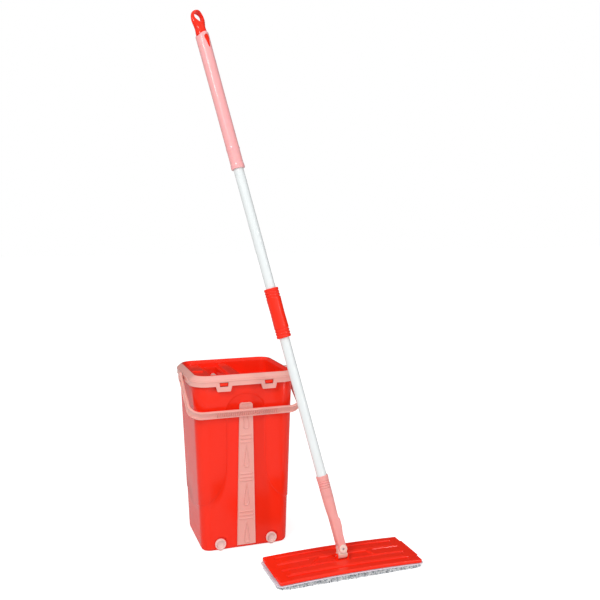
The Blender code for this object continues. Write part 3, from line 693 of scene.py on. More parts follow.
def make_bail():
    middle = BAIL_HALF - BAIL_CORNER
    arm = BAIL_REACH - BAIL_CORNER + 0.002
    path = [(-BAIL_HALF, 0.002 - arm * k / 10, 180.0, 0.0) for k in range(10)]
    for k in range(25):
        angle = 180 + 90 * k / 24
        path.append((-middle + BAIL_CORNER * cos(radians(angle)),
                     -BAIL_REACH + BAIL_CORNER + BAIL_CORNER * sin(radians(angle)), angle, 0.0))
    bend = list(path)
    pitch, ribs = 0.0049, 29
    for k in range(1, 2 * int(middle / 0.0007)):
        x = -middle + k * 0.0007
        if x >= middle:
            break
        near = abs(x) < pitch * ribs / 2
        wave = 0.5 + 0.5 * cos(2 * pi * x / pitch)
        path.append((x, -BAIL_REACH, 270.0, 0.0024 * smooth_step(wave, 0.35, 0.65) if near else 0.0))
    path += [(-x, z, 540 - angle, rib) for x, z, angle, rib in reversed(bend)]
    rings = []
    for x, z, angle, rib in path:
        nx, nz = cos(radians(angle)), sin(radians(angle))
        rings.append([(x + nx * out, across, z + nz * out) for out, across in bail_section(rib)])
    bail = workpiece("bail_handle_strap", skin("bail", rings))
    for side in (-1, 1):
        join(bail, rod("eye", 0.0108, STRAP[1] + 0.0004, "X", 56, (side * BAIL_HALF, 0, 0), 0.0008))
        join(bail, rod("peg", 0.0040, 0.0110, "X", 32, (side * (BAIL_HALF - 0.0055), 0, 0), 0.0005))
        carve(bail, rod("dimple", 0.0052, 0.0020, "X", 40, (side * (BAIL_HALF + 0.0029), 0, 0)))
    settle(bail, PINK, "bail", "pink_plastic", replaces=["bail_handle"], place=BAIL, angle=40)


# Wringer insert --------------------------
def make_deck():
    """The drop-in insert: a flanged wall, a deck with smooth steps, and walls round its two openings."""
    line = [(-0.1120, 0.3920), (-0.0690, 0.3920), (-0.0640, 0.3840), (-0.0235, 0.3840), (-0.0205, 0.3905),
            (-0.0020, 0.3910), (0.0050, 0.3880), (0.0270, 0.3665), (0.0330, 0.3640), (0.1120, 0.3640)]
    bends = [0, 0.0020, 0.0020, 0.0016, 0.0016, 0.0080, 0.0080, 0.0080, 0.0080, 0]
    smooth = fillet(line, bends, 6, False)
    outline = smooth + [(x, z - 0.0026) for x, z in reversed(smooth)]
    deck = workpiece("wringer_insert", prism("deck", outline, 0.112, -0.112, "Y"))
    carve(deck, skin("inside", [mouth_ring(-0.0096, 0.3300), mouth_ring(-0.0059, 0.4100)]), "INTERSECT")
    wall = [(-0.0006, 0.4006), (-0.0006, 0.3946), (-0.0055, 0.3946), (-0.0082, 0.3350), (-0.0104, 0.3350),
            (-0.0077, 0.3940), (-0.0034, 0.4006)]
    rounded = fillet(wall, [0.0008, 0.0003, 0.0004, 0.0005, 0.0005, 0.0030, 0.0009], 4)
    join(deck, skin("wall", [mouth_ring(o, z) for o, z in rounded], close=True))
    add_chute(deck, SLOT, 0.3205, 0.3852, 0.0040)
    add_chute(deck, WASH, 0.3380, 0.3652, 0.0070)
    join(deck, rounded_box("rest", (-0.1000, -0.0080, 0.3905), (-0.0740, 0.0080, 0.3950), 0.0012))
    for k in range(7):
        y = (k - 3) * 0.0230
        rib = rounded_box("wash_rib", (0.0858, y - 0.0012, 0.3630), (0.0985, y + 0.0012, 0.3660), 0.0006)
        join(deck, rib)
    carve(deck, rod("axle_holes", 0.0023, 0.180, "Y", 32, ROLLER_AT))
    settle(deck, RED, "wringer", "red_plastic", replaces=["wringer_deck"], angle=32)


def add_chute(deck, opening, low, high, corner):
    """Walls below an opening and a low lip round it, with rounded corners."""
    left, right, half = opening
    wall, mid, width = 0.0025, (left + right) / 2, (right - left) / 2
    outer = [rounded_rect(width + wall, half + wall, corner + wall * 0.5, z, 6) for z in (low, high)]
    inner = [rounded_rect(width, half, corner * 0.5, z, 6) for z in (0.30, 0.42)]
    for rings, operation in ((outer, "UNION"), (inner, "DIFFERENCE")):
        carve(deck, skin("chute", [[(x + mid, y, z) for x, y, z in ring] for ring in rings]), operation)


def make_roller():
    """The fluted squeeze roller, with a bore for its axle."""
    half, flutes = SLOT[2] - 0.0015, 14
    rings = []
    for z, trim in ((half, 0.0006), (half - 0.0006, 0.0), (0.0, 0.0), (0.0006 - half, 0.0), (-half, 0.0006)):
        ring = []
        for angle in around(flutes * 6):
            radius = ROLLER_R - trim - 0.0005 * smooth_step(cos(flutes * angle), 0.2, 0.9)
            ring.append((radius * cos(angle), radius * sin(angle), z))
        rings.append(ring)
    roller = workpiece("squeeze_roller_fluted", skin("roller", rings))
    carve(roller, rod("bore", 0.0024, 0.2, "Z", 32))
    place = Matrix.Translation(ROLLER_AT) @ UP_TO_FRONT
    settle(roller, PALE, "roller", "pale_plastic", replaces=["squeeze_roller"], place=place, angle=50)


# Mop head --------------------------------
PLATE_GROOVES = ((0.0450, 0.0038, (-0.138, 0.138)), (-0.0450, 0.0038, (-0.138, 0.138)),
                 (-0.0150, 0.0036, (-0.139, 0.138)), (0.0140, 0.0030, (-0.140, -0.070)),
                 (0.0140, 0.0030, (0.078, 0.139)))      # middle, half width and ends of each
PLATE_RIDGES = ((0.0295, 0.0085, (-0.128, 0.128)), (-0.0295, 0.0085, (-0.128, 0.128)))
RIDGE = 0.0007


def arch(x):
    """How far the plate bows up at x."""
    return ARCH * (1 - min((2 * x / PLATE[0]) ** 2, 1.05))


def groove(across, along, middle, half_width, ends):
    """1 inside a long groove with square-cut ends, 0 outside it."""
    soft = 0.0006
    side = 1 - smooth_step(abs(across - middle), half_width - soft, half_width + soft)
    reach = smooth_step(along, ends[0] - soft, ends[0] + soft)
    reach *= 1 - smooth_step(along, ends[1] - soft, ends[1] + soft)
    return side * reach


def panel_share(x, y):
    """1 on the flat middle panel with slanting ends, 0 outside it."""
    low, high = -0.0105, 0.0165
    part = min(max((y - low) / (high - low), 0.0), 1.0)
    left, right = -0.076 + 0.030 * part, 0.072 - 0.010 * part
    return groove(y, x, (low + high) / 2, (high - low) / 2, (left, right))


def plate_top(x, y):
    """Height of the plate's upper face: bowed, with grooves and ridges, and flat round the joint."""
    top = PLATE_Z[1] + arch(x)
    top -= GROOVE * max(groove(y, x, *place) for place in PLATE_GROOVES)
    top += sum(RIDGE * groove(y, x, *place) for place in PLATE_RIDGES)
    flat = max(panel_share(x, y), groove(y, x, -0.0110, 0.0036, (-0.0170, 0.0170)))
    return top * (1 - flat) + PLATE_Z[1] * flat


def plate_half(x):
    """Half width of the plate at x, with its small corners."""
    return round_cornered_half(x, PLATE[0] / 2, PLATE[1] / 2, PLATE_CORNER)


def round_cornered_half(x, half_l, half_w, corner):
    """Half width at x of a rectangle with round corners."""
    past = min(max(abs(x) - half_l + corner, 0.0), corner)
    return half_w - corner + sqrt(corner ** 2 - past ** 2)


def add_tilt_ear(plate, x):
    """An ear for the tilt pin, with a round top."""
    foot, top, radius = 0.0052, 0.0049, 0.0049
    outline = [(-foot, PLATE_Z[1] - 0.001), (foot, PLATE_Z[1] - 0.001), (top, TILT_Z)]
    turns = np.linspace(0.2, pi - 0.2, 14)
    outline += [(radius * cos(a), TILT_Z + radius * sin(a)) for a in turns]
    outline += [(-top, TILT_Z)]
    join(plate, prism("ear", outline, x - 0.0022, x + 0.0022, "X"))


def make_plate():
    """The plate: its grooved top, its hem, its stepped ends and its two ears."""
    half_l, spacing, rounding = PLATE[0] / 2, 0.0011, 0.0022
    corner = [half_l - PLATE_CORNER * (1 - sin(radians(a))) for a in (0, 20, 40, 55, 68, 80, 90)]
    spread = list(np.arange(-corner[0] + spacing, corner[0] - 0.0005, spacing))
    stations = [-x for x in reversed(corner)] + spread + corner
    shares = list(np.linspace(-1, 1, 201))
    rows = []
    for x in stations:
        half = plate_half(x)
        end = smooth_step(half_l - abs(x), -0.0004, rounding)
        top = []
        for share in shares:
            y = share * (half - 0.0002)
            edge = smooth_step(half - abs(y), -0.0004, rounding)
            drop = 0.0020 * (1 - min(edge, end)) ** 1.6
            top.append((x, y, plate_top(x, y) - drop))
        low = PLATE_Z[0] + arch(x)
        hem = [(x, half, low + rounding), (x, half, low + 0.0006), (x, half - 0.0012, low),
               (x, -half + 0.0012, low), (x, -half, low + 0.0006), (x, -half, low + rounding)]
        rows.append([(x * (1 - END_STEP / half_l * smooth_step(abs(y), 0.0375, 0.0390)), y, z)
                     for x, y, z in top + hem])
    plate = workpiece("mop_plate_moulding", skin("plate", rows))
    for side in (-1, 1):
        add_tilt_ear(plate, side * 0.0122)
    carve(plate, rod("pin_hole", PIN_HOLE_R, 0.0400, "X", 32, (0, 0, TILT_Z)))
    settle(plate, RED, "mop_head", "red_plastic", replaces=["mop_plate"], place=HEAD, angle=55)


def pad_core():
    """The pad's soft body under the plate: bowed on top, flat underneath, with a full edge."""
    half_l, half_w, corner = PLATE[0] / 2 - 0.0035, PLATE[1] / 2 - 0.0035, 0.013
    bends = [half_l - corner + corner * sin(radians(15 * k)) for k in range(7)]
    stations = [-x for x in reversed(bends)] + list(np.linspace(-bends[0], bends[0], 61))[1:-1] + bends
    edge = [(0.0050, 0.0012, 0), (0.0016, 0.0020, 0.1), (0.0, 0.0042, 0.4), (0.0008, 0.0064, 0.8),
            (0.0028, 0.0078, 1)]      # inset, height and share of the arch, from the floor up
    rows = []
    for x in stations:
        half = round_cornered_half(x, half_l, half_w, corner)
        side = [(x, half - inset, z + share * arch(x)) for inset, z, share in edge]
        top = [(x, y, side[-1][2]) for y in np.linspace(side[-1][1], -side[-1][1], 26)[1:-1]]
        far = [(x, -y, z) for _, y, z in reversed(side)]
        floor = [(x, y, 0.0012) for y in np.linspace(far[-1][1], side[0][1], 26)[1:-1]]
        rows.append(side + top + far + floor)
    return skin("pad_core", rows)


def puff(obj, pressure, frames, cap):
    """Swell a padded mesh with a short cloth simulation, moving no point further than cap."""
    before = np.array([v.co for v in obj.data.vertices])
    settings = obj.modifiers.new("cloth", "CLOTH").settings
    settings.use_pressure = True
    settings.uniform_pressure_force = pressure
    settings.effector_weights.gravity = 0.0
    settings.tension_stiffness = settings.compression_stiffness = 25
    scene = bpy.context.scene
    for k in range(1, frames + 1):
        scene.frame_set(k)
    apply_modifiers(obj)
    scene.frame_set(1)
    after = np.array([v.co for v in obj.data.vertices])
    move = after - before
    length = np.maximum(np.linalg.norm(move, axis=1, keepdims=True), 1e-9)
    after = before + move * np.minimum(1.0, cap / length)
    after[:, 2] = np.clip(after[:, 2], PAD_LOW, None)
    for vertex, spot in zip(obj.data.vertices, after):
        vertex.co = spot


def make_pad():
    """The pad: a swollen core, and a pile of twisted microfibre tufts all round its edge."""
    core = workpiece("mop_pad_core", pad_core())
    add_remesh(core, 0.0035)
    apply_modifiers(core)
    puff(core, 1.2, 12, 0.0022)
    keep_under_plate(core)
    subdivide = core.modifiers.new("subdivide", "SUBSURF")
    subdivide.levels = subdivide.render_levels = 1
    apply_modifiers(core)
    color_mesh(core.data, [(0.60, 0.61, 0.66)] * len(core.data.vertices))
    settle(core, PILE, "mop_head", "pad_pile", replaces=["mop_pad"], place=HEAD, angle=70)
    pile = workpiece("mop_pad_pile", pile_mesh())
    settle(pile, PILE, "mop_head", "pad_pile", place=HEAD, angle=80)


def make_binding():
    """The backing cloth's rolled hem, a pale cord all round the pad under the plate's edge."""
    half_l, half_w, girth, count = PLATE[0] / 2 + 0.0022, PLATE[1] / 2 + 0.0002, 0.0012, 420
    rings = []
    for k in range(count):
        spot, heading = edge_point(k / count, half_l, half_w)
        z = PAD_TOP - 0.0002 + arch(spot.x) + 0.00012 * sin(k * 2.1)
        ring = []
        for angle in around(12):
            out, lift = girth * 1.5 * cos(angle) - girth, girth * 0.85 * sin(angle)
            ring.append((spot.x + out * cos(heading), spot.y + out * sin(heading), z + lift))
        rings.append(ring)
    binding = piece("pad_backing_hem", skin("hem", rings, close=True), BACKING, "mop_head", "pad_cloth",
                    place=HEAD, angle=70)


def keep_under_plate(obj):
    """Hold the pad's top just under its backing cloth."""
    for vertex in obj.data.vertices:
        ceiling = PAD_TOP - 0.0002 + arch(vertex.co.x)
        vertex.co.z = min(max(vertex.co.z, PAD_LOW), ceiling)


def color_mesh(mesh, colors):
    """Keep a colour for each point in the mesh, for the yarn's material."""
    layer = mesh.color_attributes.new("shade", "FLOAT_COLOR", "POINT")
    for item, color in zip(layer.data, colors):
        item.color = (*color, 1.0)


def edge_point(run, half_l, half_w):
    """A point and its outward direction on a rounded rectangle's edge, run being from 0 to 1."""
    corner = PAD_CORNER
    straight_l, straight_w, bend = 2 * (half_l - corner), 2 * (half_w - corner), corner * pi / 2
    lengths = [straight_l, bend, straight_w, bend, straight_l, bend, straight_w, bend]
    along = run % 1.0 * sum(lengths)
    starts = [((-half_l + corner, -half_w), 270), ((half_l - corner, -half_w + corner), 270),
              ((half_l, -half_w + corner), 0), ((half_l - corner, half_w - corner), 0),
              ((half_l - corner, half_w), 90), ((-half_l + corner, half_w - corner), 90),
              ((-half_l, half_w - corner), 180), ((-half_l + corner, -half_w + corner), 180)]
    for k, (length, (spot, heading)) in enumerate(zip(lengths, starts)):
        if along > length:
            along -= length
            continue
        turn = radians(heading)
        if k % 2:
            turn += along / corner
            return Vector((spot[0] + corner * cos(turn), spot[1] + corner * sin(turn))), turn
        forward = turn + pi / 2
        return Vector((spot[0] + along * cos(forward), spot[1] + along * sin(forward))), turn
    return Vector(starts[0][0]), radians(270)


def yarn_shade():
    """The colour of one tuft: mostly pale grey, some bluish, and a few dark."""
    pick = random.random()
    if pick < 0.08:
        base = (0.22, 0.23, 0.26)
    elif pick < 0.24:
        base = (0.46, 0.50, 0.54)
    elif pick < 0.45:
        base = (0.68, 0.70, 0.73)
    else:
        base = (0.90, 0.91, 0.92)
    glow = random.uniform(0.88, 1.1)
    return tuple(min(c * glow, 0.95) for c in base)


def tuft(start, out, fall, length, radius, verts, faces, colors):
    """One drooping tuft: a bent tapering tube from start, leaving along out and sinking by fall."""
    sides, rings = 5, 5
    color = yarn_shade()
    turn = random.uniform(0, pi)
    side_way = out.cross(Vector((0, 0, 1))).normalized()
    sway = side_way * random.uniform(-0.35, 0.35) * length
    base = len(verts)
    for k in range(rings):
        t = k / (rings - 1)
        centre = start + out * (length * t) + Vector((0, 0, -fall * t * t)) + sway * t * t
        centre.z = max(centre.z, 0.0006)
        girth = radius * (1.0, 1.12, 1.05, 0.8, 0.28)[k]
        up = side_way.cross(out)
        for way in around(sides):
            angle = turn + way + 0.9 * t
            spot = centre + (side_way * cos(angle) + up * sin(angle)) * girth
            spot.z = max(spot.z, 0.0)
            verts.append(spot)
            # Each tuft is painted darker towards its root, down to 0.82 of its colour at the base: painted
            # shade where the tufts crowd together against the pad.
            colors.append(tuple(c * (0.82 + 0.18 * t) for c in color))
    for k in range(rings - 1):
        for i in range(sides):
            j = (i + 1) % sides
            low, high = base + k * sides, base + (k + 1) * sides
            faces.append((low + i, low + j, high + j, high + i))
    last = base + (rings - 1) * sides
    faces.append(tuple(range(last, last + sides)))
    faces.append(tuple(range(base, base + sides))[::-1])


def pile_mesh():
    verts, faces, colors = [], [], []
    half_l, half_w = PLATE[0] / 2 - 0.0052, PLATE[1] / 2 - 0.0052
    levels = ((0.0016, -0.10, 0.0), (0.0030, 0.0, 0.1), (0.0044, 0.10, 0.4), (0.0058, 0.16, 0.7),
              (0.0069, 0.20, 1.0))      # height, rise of the tufts and share of the arch
    count = 430
    for row, (level, lift, share) in enumerate(levels):
        for k in range(count):
            run = (k + 0.5 * (row % 2) + random.uniform(-0.3, 0.3)) / count
            spot, heading = edge_point(run, half_l, half_w)
            heading += random.uniform(-0.35, 0.35)
            z = level + share * arch(spot.x) + random.uniform(-0.0005, 0.0005)
            rise = lift + random.uniform(-0.15, 0.1)
            out = Vector((cos(heading), sin(heading), rise)).normalized()
            length = random.uniform(0.0042, 0.0062)
            fall = random.uniform(0.0002, 0.0014)
            radius = random.uniform(0.00085, 0.0013)
            tuft(Vector((spot.x, spot.y, z)), out, fall, length, radius, verts, faces, colors)
    mesh = bpy.data.meshes.new("pad_pile")
    mesh.from_pydata(verts, [], faces)
    outward(mesh)
    color_mesh(mesh, colors)
    return mesh


# Joint and pole --------------------------
def make_knuckle():
    """The pale block between the pins: an eye and a foot below, a round-topped tongue above."""
    width, tongue, pocket_r = 0.0192, 0.0124, 0.0098
    middle = rounded_box("block", (-width / 2, -tongue / 2, 0.0), (width / 2, tongue / 2, SWING_UP - 0.002),
                         0.0006)
    block = workpiece("knuckle_moulding", middle)
    join(block, rod("eye", 0.0062, width - 0.0004, "X", 48, (0, 0, 0), 0.0005))
    join(block, rod("tongue", 0.0094, tongue - 0.0004, "Y", 56, (0, 0, SWING_UP), 0.0005))
    foot = [(-0.0095, 0.0048), (-0.0095, 0.0032), (-0.0062, -0.0030), (0.0062, -0.0030), (0.0095, 0.0032),
            (0.0095, 0.0048)]
    join(block, prism("foot", foot, -width / 2, width / 2, "X", 0.0005))
    for low, high in ((-0.02, -0.0066), (0.0066, 0.02)):
        pocket = [(pocket_r * cos(a), SWING_UP + pocket_r * sin(a)) for a in around(64)]
        carve(block, prism("pocket", pocket, low, high, "Y"))
    carve(block, rod("tilt_hole", PIN_HOLE_R, 0.03, "X", 32))
    carve(block, rod("swing_hole", PIN_HOLE_R, 0.03, "Y", 32, (0, 0, SWING_UP)))
    settle(block, PALE, "knuckle", "pale_plastic", replaces=["knuckle_block"], place=KNUCKLE, angle=40)


def make_pins():
    pins = (("tilt_pin", 0.0290, "X", (0, 0, TILT_Z), HEAD, "mop_head"),
            ("swing_pin", 0.0180, "Y", (0, 0, SWING_UP), KNUCKLE, "knuckle"))
    for name, length, axis, at, place, body in pins:
        piece(name + "_turned", rod(name, PIN_R, length, axis, 40, at, 0.0004), STEEL, body, "pin_steel",
              replaces=[name], place=place)


def socket_section(z):
    """The socket's outline at a height: round above, a rounded block with a fuller right side below."""
    blend_in = smooth_step(z, 0.060, 0.086)
    squareness = 0.42
    points = []
    radius = float(np.interp(z, [0.0108, 0.064, 0.090, 0.120, SOCKET_END],
                             [0.0104, 0.0106, 0.0117, 0.0125, 0.0127]))
    right = 0.0096 + 0.0028 * smooth_step(z, 0.028, 0.048) - 0.0024 * smooth_step(z, 0.0610, 0.0660)
    for angle in around(SOCKET_STEPS):
        c, s = cos(angle), sin(angle)
        wide = right if c > 0 else 0.0090
        x = wide * copysign(abs(c) ** squareness, c)
        y = 0.0105 * copysign(abs(s) ** squareness, s)
        points.append((x * (1 - blend_in) + radius * c * blend_in,
                       y * (1 - blend_in) + radius * s * blend_in, z))
    return points


def make_socket():
    """The socket: a clevis at its foot, a squarish hood, a round collar with ring grooves, and cheeks."""
    levels = (0.0, 0.012, 0.030, 0.045, 0.056, 0.0595, 0.062, 0.0645, 0.067, 0.070, 0.074, 0.080, 0.087,
              0.096, 0.110)
    body = [socket_section(z) for z in levels]
    collar = [(0.1135, 0.0), (0.1141, 0.0006), (0.1147, 0.0)]      # heights, and depths below the collar
    for down in (0.0264, 0.0214, 0.0164, 0.0114):
        z = SOCKET_END - down
        collar += [(z - 0.0015, 0.0), (z, 0.0014), (z + 0.0015, 0.0)]
    collar += [(SOCKET_END - 0.0012, 0.0), (SOCKET_END, 0.0009)]
    for z, depth in collar:
        radius = float(np.interp(z, [0.090, 0.120, SOCKET_END - 0.012, SOCKET_END],
                                 [0.0117, 0.0123, 0.0127, 0.0130]))
        body.append(circle(radius - depth, z, SOCKET_STEPS))
    socket = workpiece("pole_socket_moulding", skin("socket", body))
    join(socket, rod("cheeks", 0.0088, 0.0211, "Y", 64, (0, 0, 0), 0.0006))
    carve(socket, rounded_box("clevis_gap", (-0.02, -0.0065, -0.02), (0.02, 0.0065, 0.0108), 0.0008))
    notch = [(-0.0120, 0.0105), (-0.0082, 0.0120), (-0.0082, 0.0180), (-0.0120, 0.0240)]
    carve(socket, prism("notch", notch, -0.02, 0.02, "Y", 0.0006))
    carve(socket, rod("swing_hole", PIN_HOLE_R, 0.04, "Y", 32))
    carve(socket, rod("bore", BORE_R, 0.06, "Z", 64, (0, 0, 0.1410)))
    settle(socket, SOCKET_PINK, "lower_pole", "pink_plastic", replaces=["pole_socket"], place=POLE, angle=30)
    for face, y in (("front", -0.0112), ("back", 0.0112)):
        cheek = workpiece("swing_cheek_" + face, rod("cheek", 0.0087, 0.0014, "Y", 64, (0, y, 0), 0.0005))
        carve(cheek, rod("pin_hole", 0.0026, 0.04, "Y", 32))
        settle(cheek, PALE, "lower_pole", "pale_plastic", place=POLE)


def make_tubes():
    """The two white tubes, their end edges eased."""
    inner, lip = TUBE_R - 0.001, 0.0003
    for name, body, low, high in (("lower_tube", "lower_pole", 0.112, 0.4972),
                                  ("upper_tube", "upper_pole", 0.5197, 1.101)):
        profile = [(TUBE_R - lip, high), (TUBE_R, high - lip), (TUBE_R, low + lip), (TUBE_R - lip, low),
                   (inner, low), (inner, high)]
        piece(name + "_coated", lathe(name, profile, 72), TUBE_WHITE, body, "tube_white", replaces=[name],
              place=POLE)


def make_sleeve():
    """The red screw sleeve: ring grooves at both ends, a slight waist, and a web inside."""
    low, high = SLEEVE
    web_r, web = 0.0089, (0.4975, 0.5176)
    side = [(0.0146, high), (0.0156, high - 0.0016)]
    for k in range(3):
        z = high - 0.0066 - 0.0060 * k
        side += [(0.0158, z + 0.0021), (0.0143, z), (0.0158, z - 0.0021)]
    outer = side + [(0.01515, (low + high) / 2)] + [(r, low + high - z) for r, z in reversed(side)]
    inside = [(BORE_R, low), (BORE_R, web[0]), (web_r, web[0]), (web_r, web[1]), (BORE_R, web[1]),
              (BORE_R, high)]
    half_bends = [0.0008, 0.0014] + [0.0010, 0.0006, 0.0010] * 3
    bends = half_bends + [0.05] + half_bends[::-1] + [0.0003] * len(inside)
    mesh = lathe("sleeve", fillet(outer + inside, bends, 4), 80)
    piece("coupling_sleeve_turned", mesh, RED, "lower_pole", "red_plastic", replaces=["coupling_sleeve"],
          place=POLE, angle=45)


def make_grip():
    """The long grip: a scalloped top, a drop-shaped window, a bead and a flared foot."""
    low, high = GRIP
    scallop = 0.0060
    levels = [(0.0144, low), (0.0147, low + 0.0006), (0.0148, low + 0.0014), (0.0147, low + 0.0086),
              (0.0141, low + 0.0110), (0.0140, low + 0.0125), (0.0141, low + 0.0385), (0.0142, low + 0.0400),
              (0.0146, low + 0.0425), (0.0147, low + 0.0440), (0.0146, low + 0.0455), (0.0142, low + 0.0480),
              (0.0141, low + 0.0500), (0.0140, (low + high) / 2), (0.0144, high - 0.040),
              (0.0146, high - 0.020), (0.0147, high - 0.0030), (0.0145, high - 0.0008), (0.0141, high),
              (BORE_R + 0.0003, high), (BORE_R, high - 0.0004), (BORE_R, low)]
    rings = []
    for radius, z in levels:
        ring = circle(radius, z, 96)
        if z > high - 0.015:
            ring = [(x, y, z - scallop + scallop * (0.5 - 0.5 * cos(2 * angle)))
                    for (x, y, _), angle in zip(ring, around(96))]
        rings.append(ring)
    grip = workpiece("grip_sleeve_moulding", skin("grip", rings, close=True))
    carve(grip, window_prism(high, 0.0))
    settle(grip, GRIP_PINK, "upper_pole", "grip_pink", replaces=["grip_sleeve"], place=POLE_TOP, angle=40)


def window_prism(high, inset):
    """A long drop lying in the grip's front wall: round at the top, narrow at the foot."""
    top, foot, wide = high - 0.0060 - inset, high - 0.0350 + inset, 0.0068 - inset
    centre = top - wide
    outline = [(wide * cos(a), centre + wide * sin(a)) for a in np.linspace(pi, 0, 17)]
    outline += [(0.0024 - inset, foot + 0.0020), (0.0010, foot), (-0.0010, foot),
                (inset - 0.0024, foot + 0.0020)]
    return prism("window", outline, -0.03, -0.0112, "Y")


def cap_section(z):
    """The cap's oval outline: a neck above the grip, widest at the loop, closing at its crown."""
    low, neck, wide = GRIP[1] + 0.0003, GRIP[1] + 0.0090, CAP_END - 0.0225
    if z < neck:
        half = 0.0128 - 0.0008 * smooth_step(z, low, neck)
    elif z < wide:
        half = 0.0120 + 0.0052 * smooth_step(z, neck, wide)
    else:
        half = 0.0172 * sqrt(max(1 - ((z - wide) / (CAP_END - wide)) ** 2, 0.004))
    depth = min(0.0118 - 0.0030 * smooth_step(z, low, wide), half)
    return [(half * cos(a), depth * sin(a), z) for a in around(CAP_STEPS)]


def make_cap():
    """The red end cap: a hanging loop, a collar that dips into the grip, and a tongue in its window."""
    top = GRIP[1]
    low, foot = top - 0.0036, top + 0.0004
    shares = (0, .08, .16, .24, .32, .4, .48, .56, .64, .71, .78, .84, .89, .93, .96, .98, .992, 1)
    heights = [low] + [foot + (CAP_END - top - 0.0004) * share for share in shares]
    cap = workpiece("loop_cap_moulding", skin("cap", [cap_section(max(z, top + 0.0003)) for z in heights]))
    for vertex in cap.data.vertices[:CAP_STEPS]:
        vertex.co.z = low
    hole = []
    for angle in around(48):
        narrow = 1 - 0.35 * smooth_step(-sin(angle), 0.1, 1.0)
        hole.append((0.0118 * cos(angle) * narrow, CAP_END - 0.0170 + 0.0126 * sin(angle)))
    carve(cap, prism("hole", hole, -0.03, 0.03, "Y"))
    soften(cap, 0.0005, 6)
    join(cap, rod("spigot", TUBE_R - 0.0003, 0.0330, "Z", 56, (0, 0, top - 0.0192), 0.0004))
    shell = lathe("shell", [(0.0138, top), (0.0138, top - 0.04), (0.0100, top - 0.04), (0.0100, top)], 96)
    inlay = workpiece("inlay", window_prism(top, 0.0004))
    carve(inlay, shell, "INTERSECT")
    join(cap, inlay.data.copy())
    bpy.data.objects.remove(inlay)
    settle(cap, RED, "upper_pole", "red_plastic", replaces=["loop_cap"], place=POLE_TOP, angle=42)


def finish_hidden_nodes():
    """Give the plain inner CAD pieces their finishes."""
    looks = {"scraper_blade": PALE, "roller_axle": STEEL, "hook_strip_front": TAPE, "hook_strip_back": TAPE,
             "pad_backing": BACKING, "tube_plug": SOCKET_PINK, "thread_plug": PINK, "coupling_washer": WASHER}
    for name, material in looks.items():
        node = frame["nodes"][name]
        node.data.materials.clear()
        node.data.materials.append(material)


# Scene -----------------------------------
def make_camera():
    camera = bpy.data.cameras.new("camera")
    camera.lens = 45.56
    camera.sensor_width = 36.0
    camera.clip_start, camera.clip_end = 0.05, 50
    holder = bpy.data.objects.new("camera", camera)
    bpy.context.scene.collection.objects.link(holder)
    turn, pitch, roll = radians(-18.743), radians(5.3215), radians(-0.4)
    facing = Matrix.Rotation(turn, 4, "Z") @ Matrix.Rotation(pi / 2 - pitch, 4, "X")
    stand = Matrix.Translation((-0.4141, -1.6996, 0.7147))
    holder.matrix_world = stand @ facing @ Matrix.Rotation(roll, 4, "Z")
    bpy.context.scene.camera = holder


def area_light(name, size, power, location, target):
    light = bpy.data.lights.new(name, "AREA")
    light.shape = "RECTANGLE"
    light.size, light.size_y = size
    light.energy = power
    holder = bpy.data.objects.new(name, light)
    bpy.context.scene.collection.objects.link(holder)
    holder.location = location
    aim = Vector(target) - Vector(location)
    holder.rotation_euler = aim.to_track_quat("-Z", "Y").to_euler()


def make_world():
    """A studio, bright at the front left and above, dark behind, and plain white to the camera."""
    world = bpy.data.worlds.new("studio")
    bpy.context.scene.world = world
    world.use_nodes = True
    background = world.node_tree.nodes["Background"]
    background.inputs["Color"].default_value = (1, 1, 1, 1)
    place = add_node(world, "ShaderNodeTexCoord")
    toward = add_node(world, "ShaderNodeVectorMath")
    toward.operation = "DOT_PRODUCT"
    toward.inputs[1].default_value = (-0.52, -0.60, 0.61)
    link(world, place.outputs["Generated"], toward.inputs[0])
    light = add_node(world, "ShaderNodeMapRange", From_Min=-0.45, From_Max=0.95, To_Min=0.06, To_Max=0.86)
    link(world, toward.outputs["Value"], light.inputs["Value"])
    white_behind(world, light.outputs["Result"], background.inputs["Strength"], 1.0)


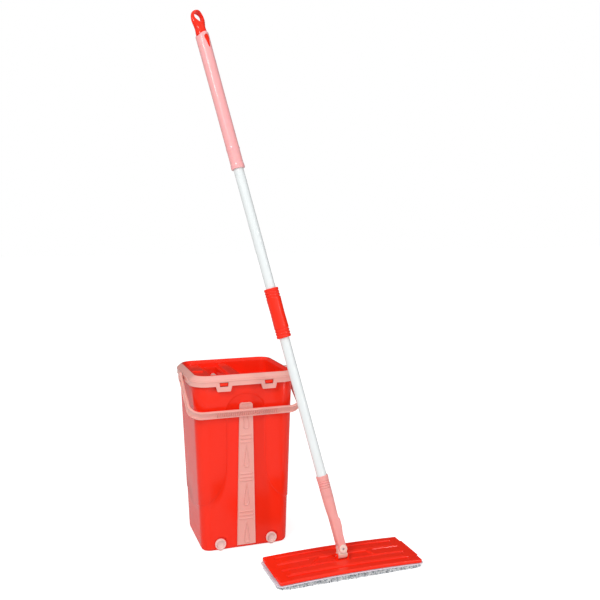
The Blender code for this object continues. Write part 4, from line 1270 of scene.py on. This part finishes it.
def white_behind(tree_owner, value, target, seen):
    """Use a value for lighting, or nothing, and seen for what the camera sees behind the object."""
    ray = add_node(tree_owner, "ShaderNodeLightPath")
    choose = add_node(tree_owner, "ShaderNodeMix")
    choose.data_type = "FLOAT"
    choose.inputs["A"].default_value = 0.0
    choose.inputs["B"].default_value = seen
    link(tree_owner, ray.outputs["Is Camera Ray"], choose.inputs["Factor"])
    if value is not None:
        link(tree_owner, value, choose.inputs["A"])
    link(tree_owner, choose.outputs["Result"], target)


def make_floor():
    mesh = bpy.data.meshes.new("floor")
    reach = 20
    corners = [(-reach, -reach, 0), (reach, -reach, 0), (reach, reach, 0), (-reach, reach, 0)]
    mesh.from_pydata(corners, [], [(0, 1, 2, 3)])
    ground = workpiece("floor", mesh)
    ground.location.z = -0.0002
    material, shader = principled("floor_pale", Base_Color=(0.82, 0.82, 0.82, 1), Roughness=0.9,
                                  Specular_IOR_Level=0.1, Emission_Color=(1, 1, 1, 1))
    white_behind(material, None, shader.inputs["Emission Strength"], 0.66)
    mesh.materials.append(material)


def make_stage():
    bpy.context.scene.view_settings.view_transform = "Standard"
    make_world()
    make_floor()
    area_light("key", (0.5, 0.5), 18, (-1.3, -1.5, 1.8), (0.0, -0.1, 0.35))
    area_light("streak", (0.07, 1.3), 7, (1.25, -1.7, 0.85), (0.1, -0.1, 0.6))
    area_light("fill", (1.2, 1.2), 2.5, (0.3, -2.2, 0.8), (0.1, -0.1, 0.4))
    area_light("top", (1.2, 1.2), 4, (0.1, -0.2, 2.3), (0.05, 0.0, 0.2))


def main():
    make_camera()
    make_stage()
    make_tub()
    make_plug("drain_plug_left_cup", "left_plug", -PLUG_X)
    make_plug("drain_plug_right_cup", "right_plug", PLUG_X)
    make_strip()
    make_rim()
    make_bail()
    make_deck()
    make_roller()
    make_plate()
    make_pad()
    make_binding()
    make_knuckle()
    make_pins()
    make_socket()
    make_tubes()
    make_sleeve()
    make_grip()
    make_cap()
    finish_hidden_nodes()


main()
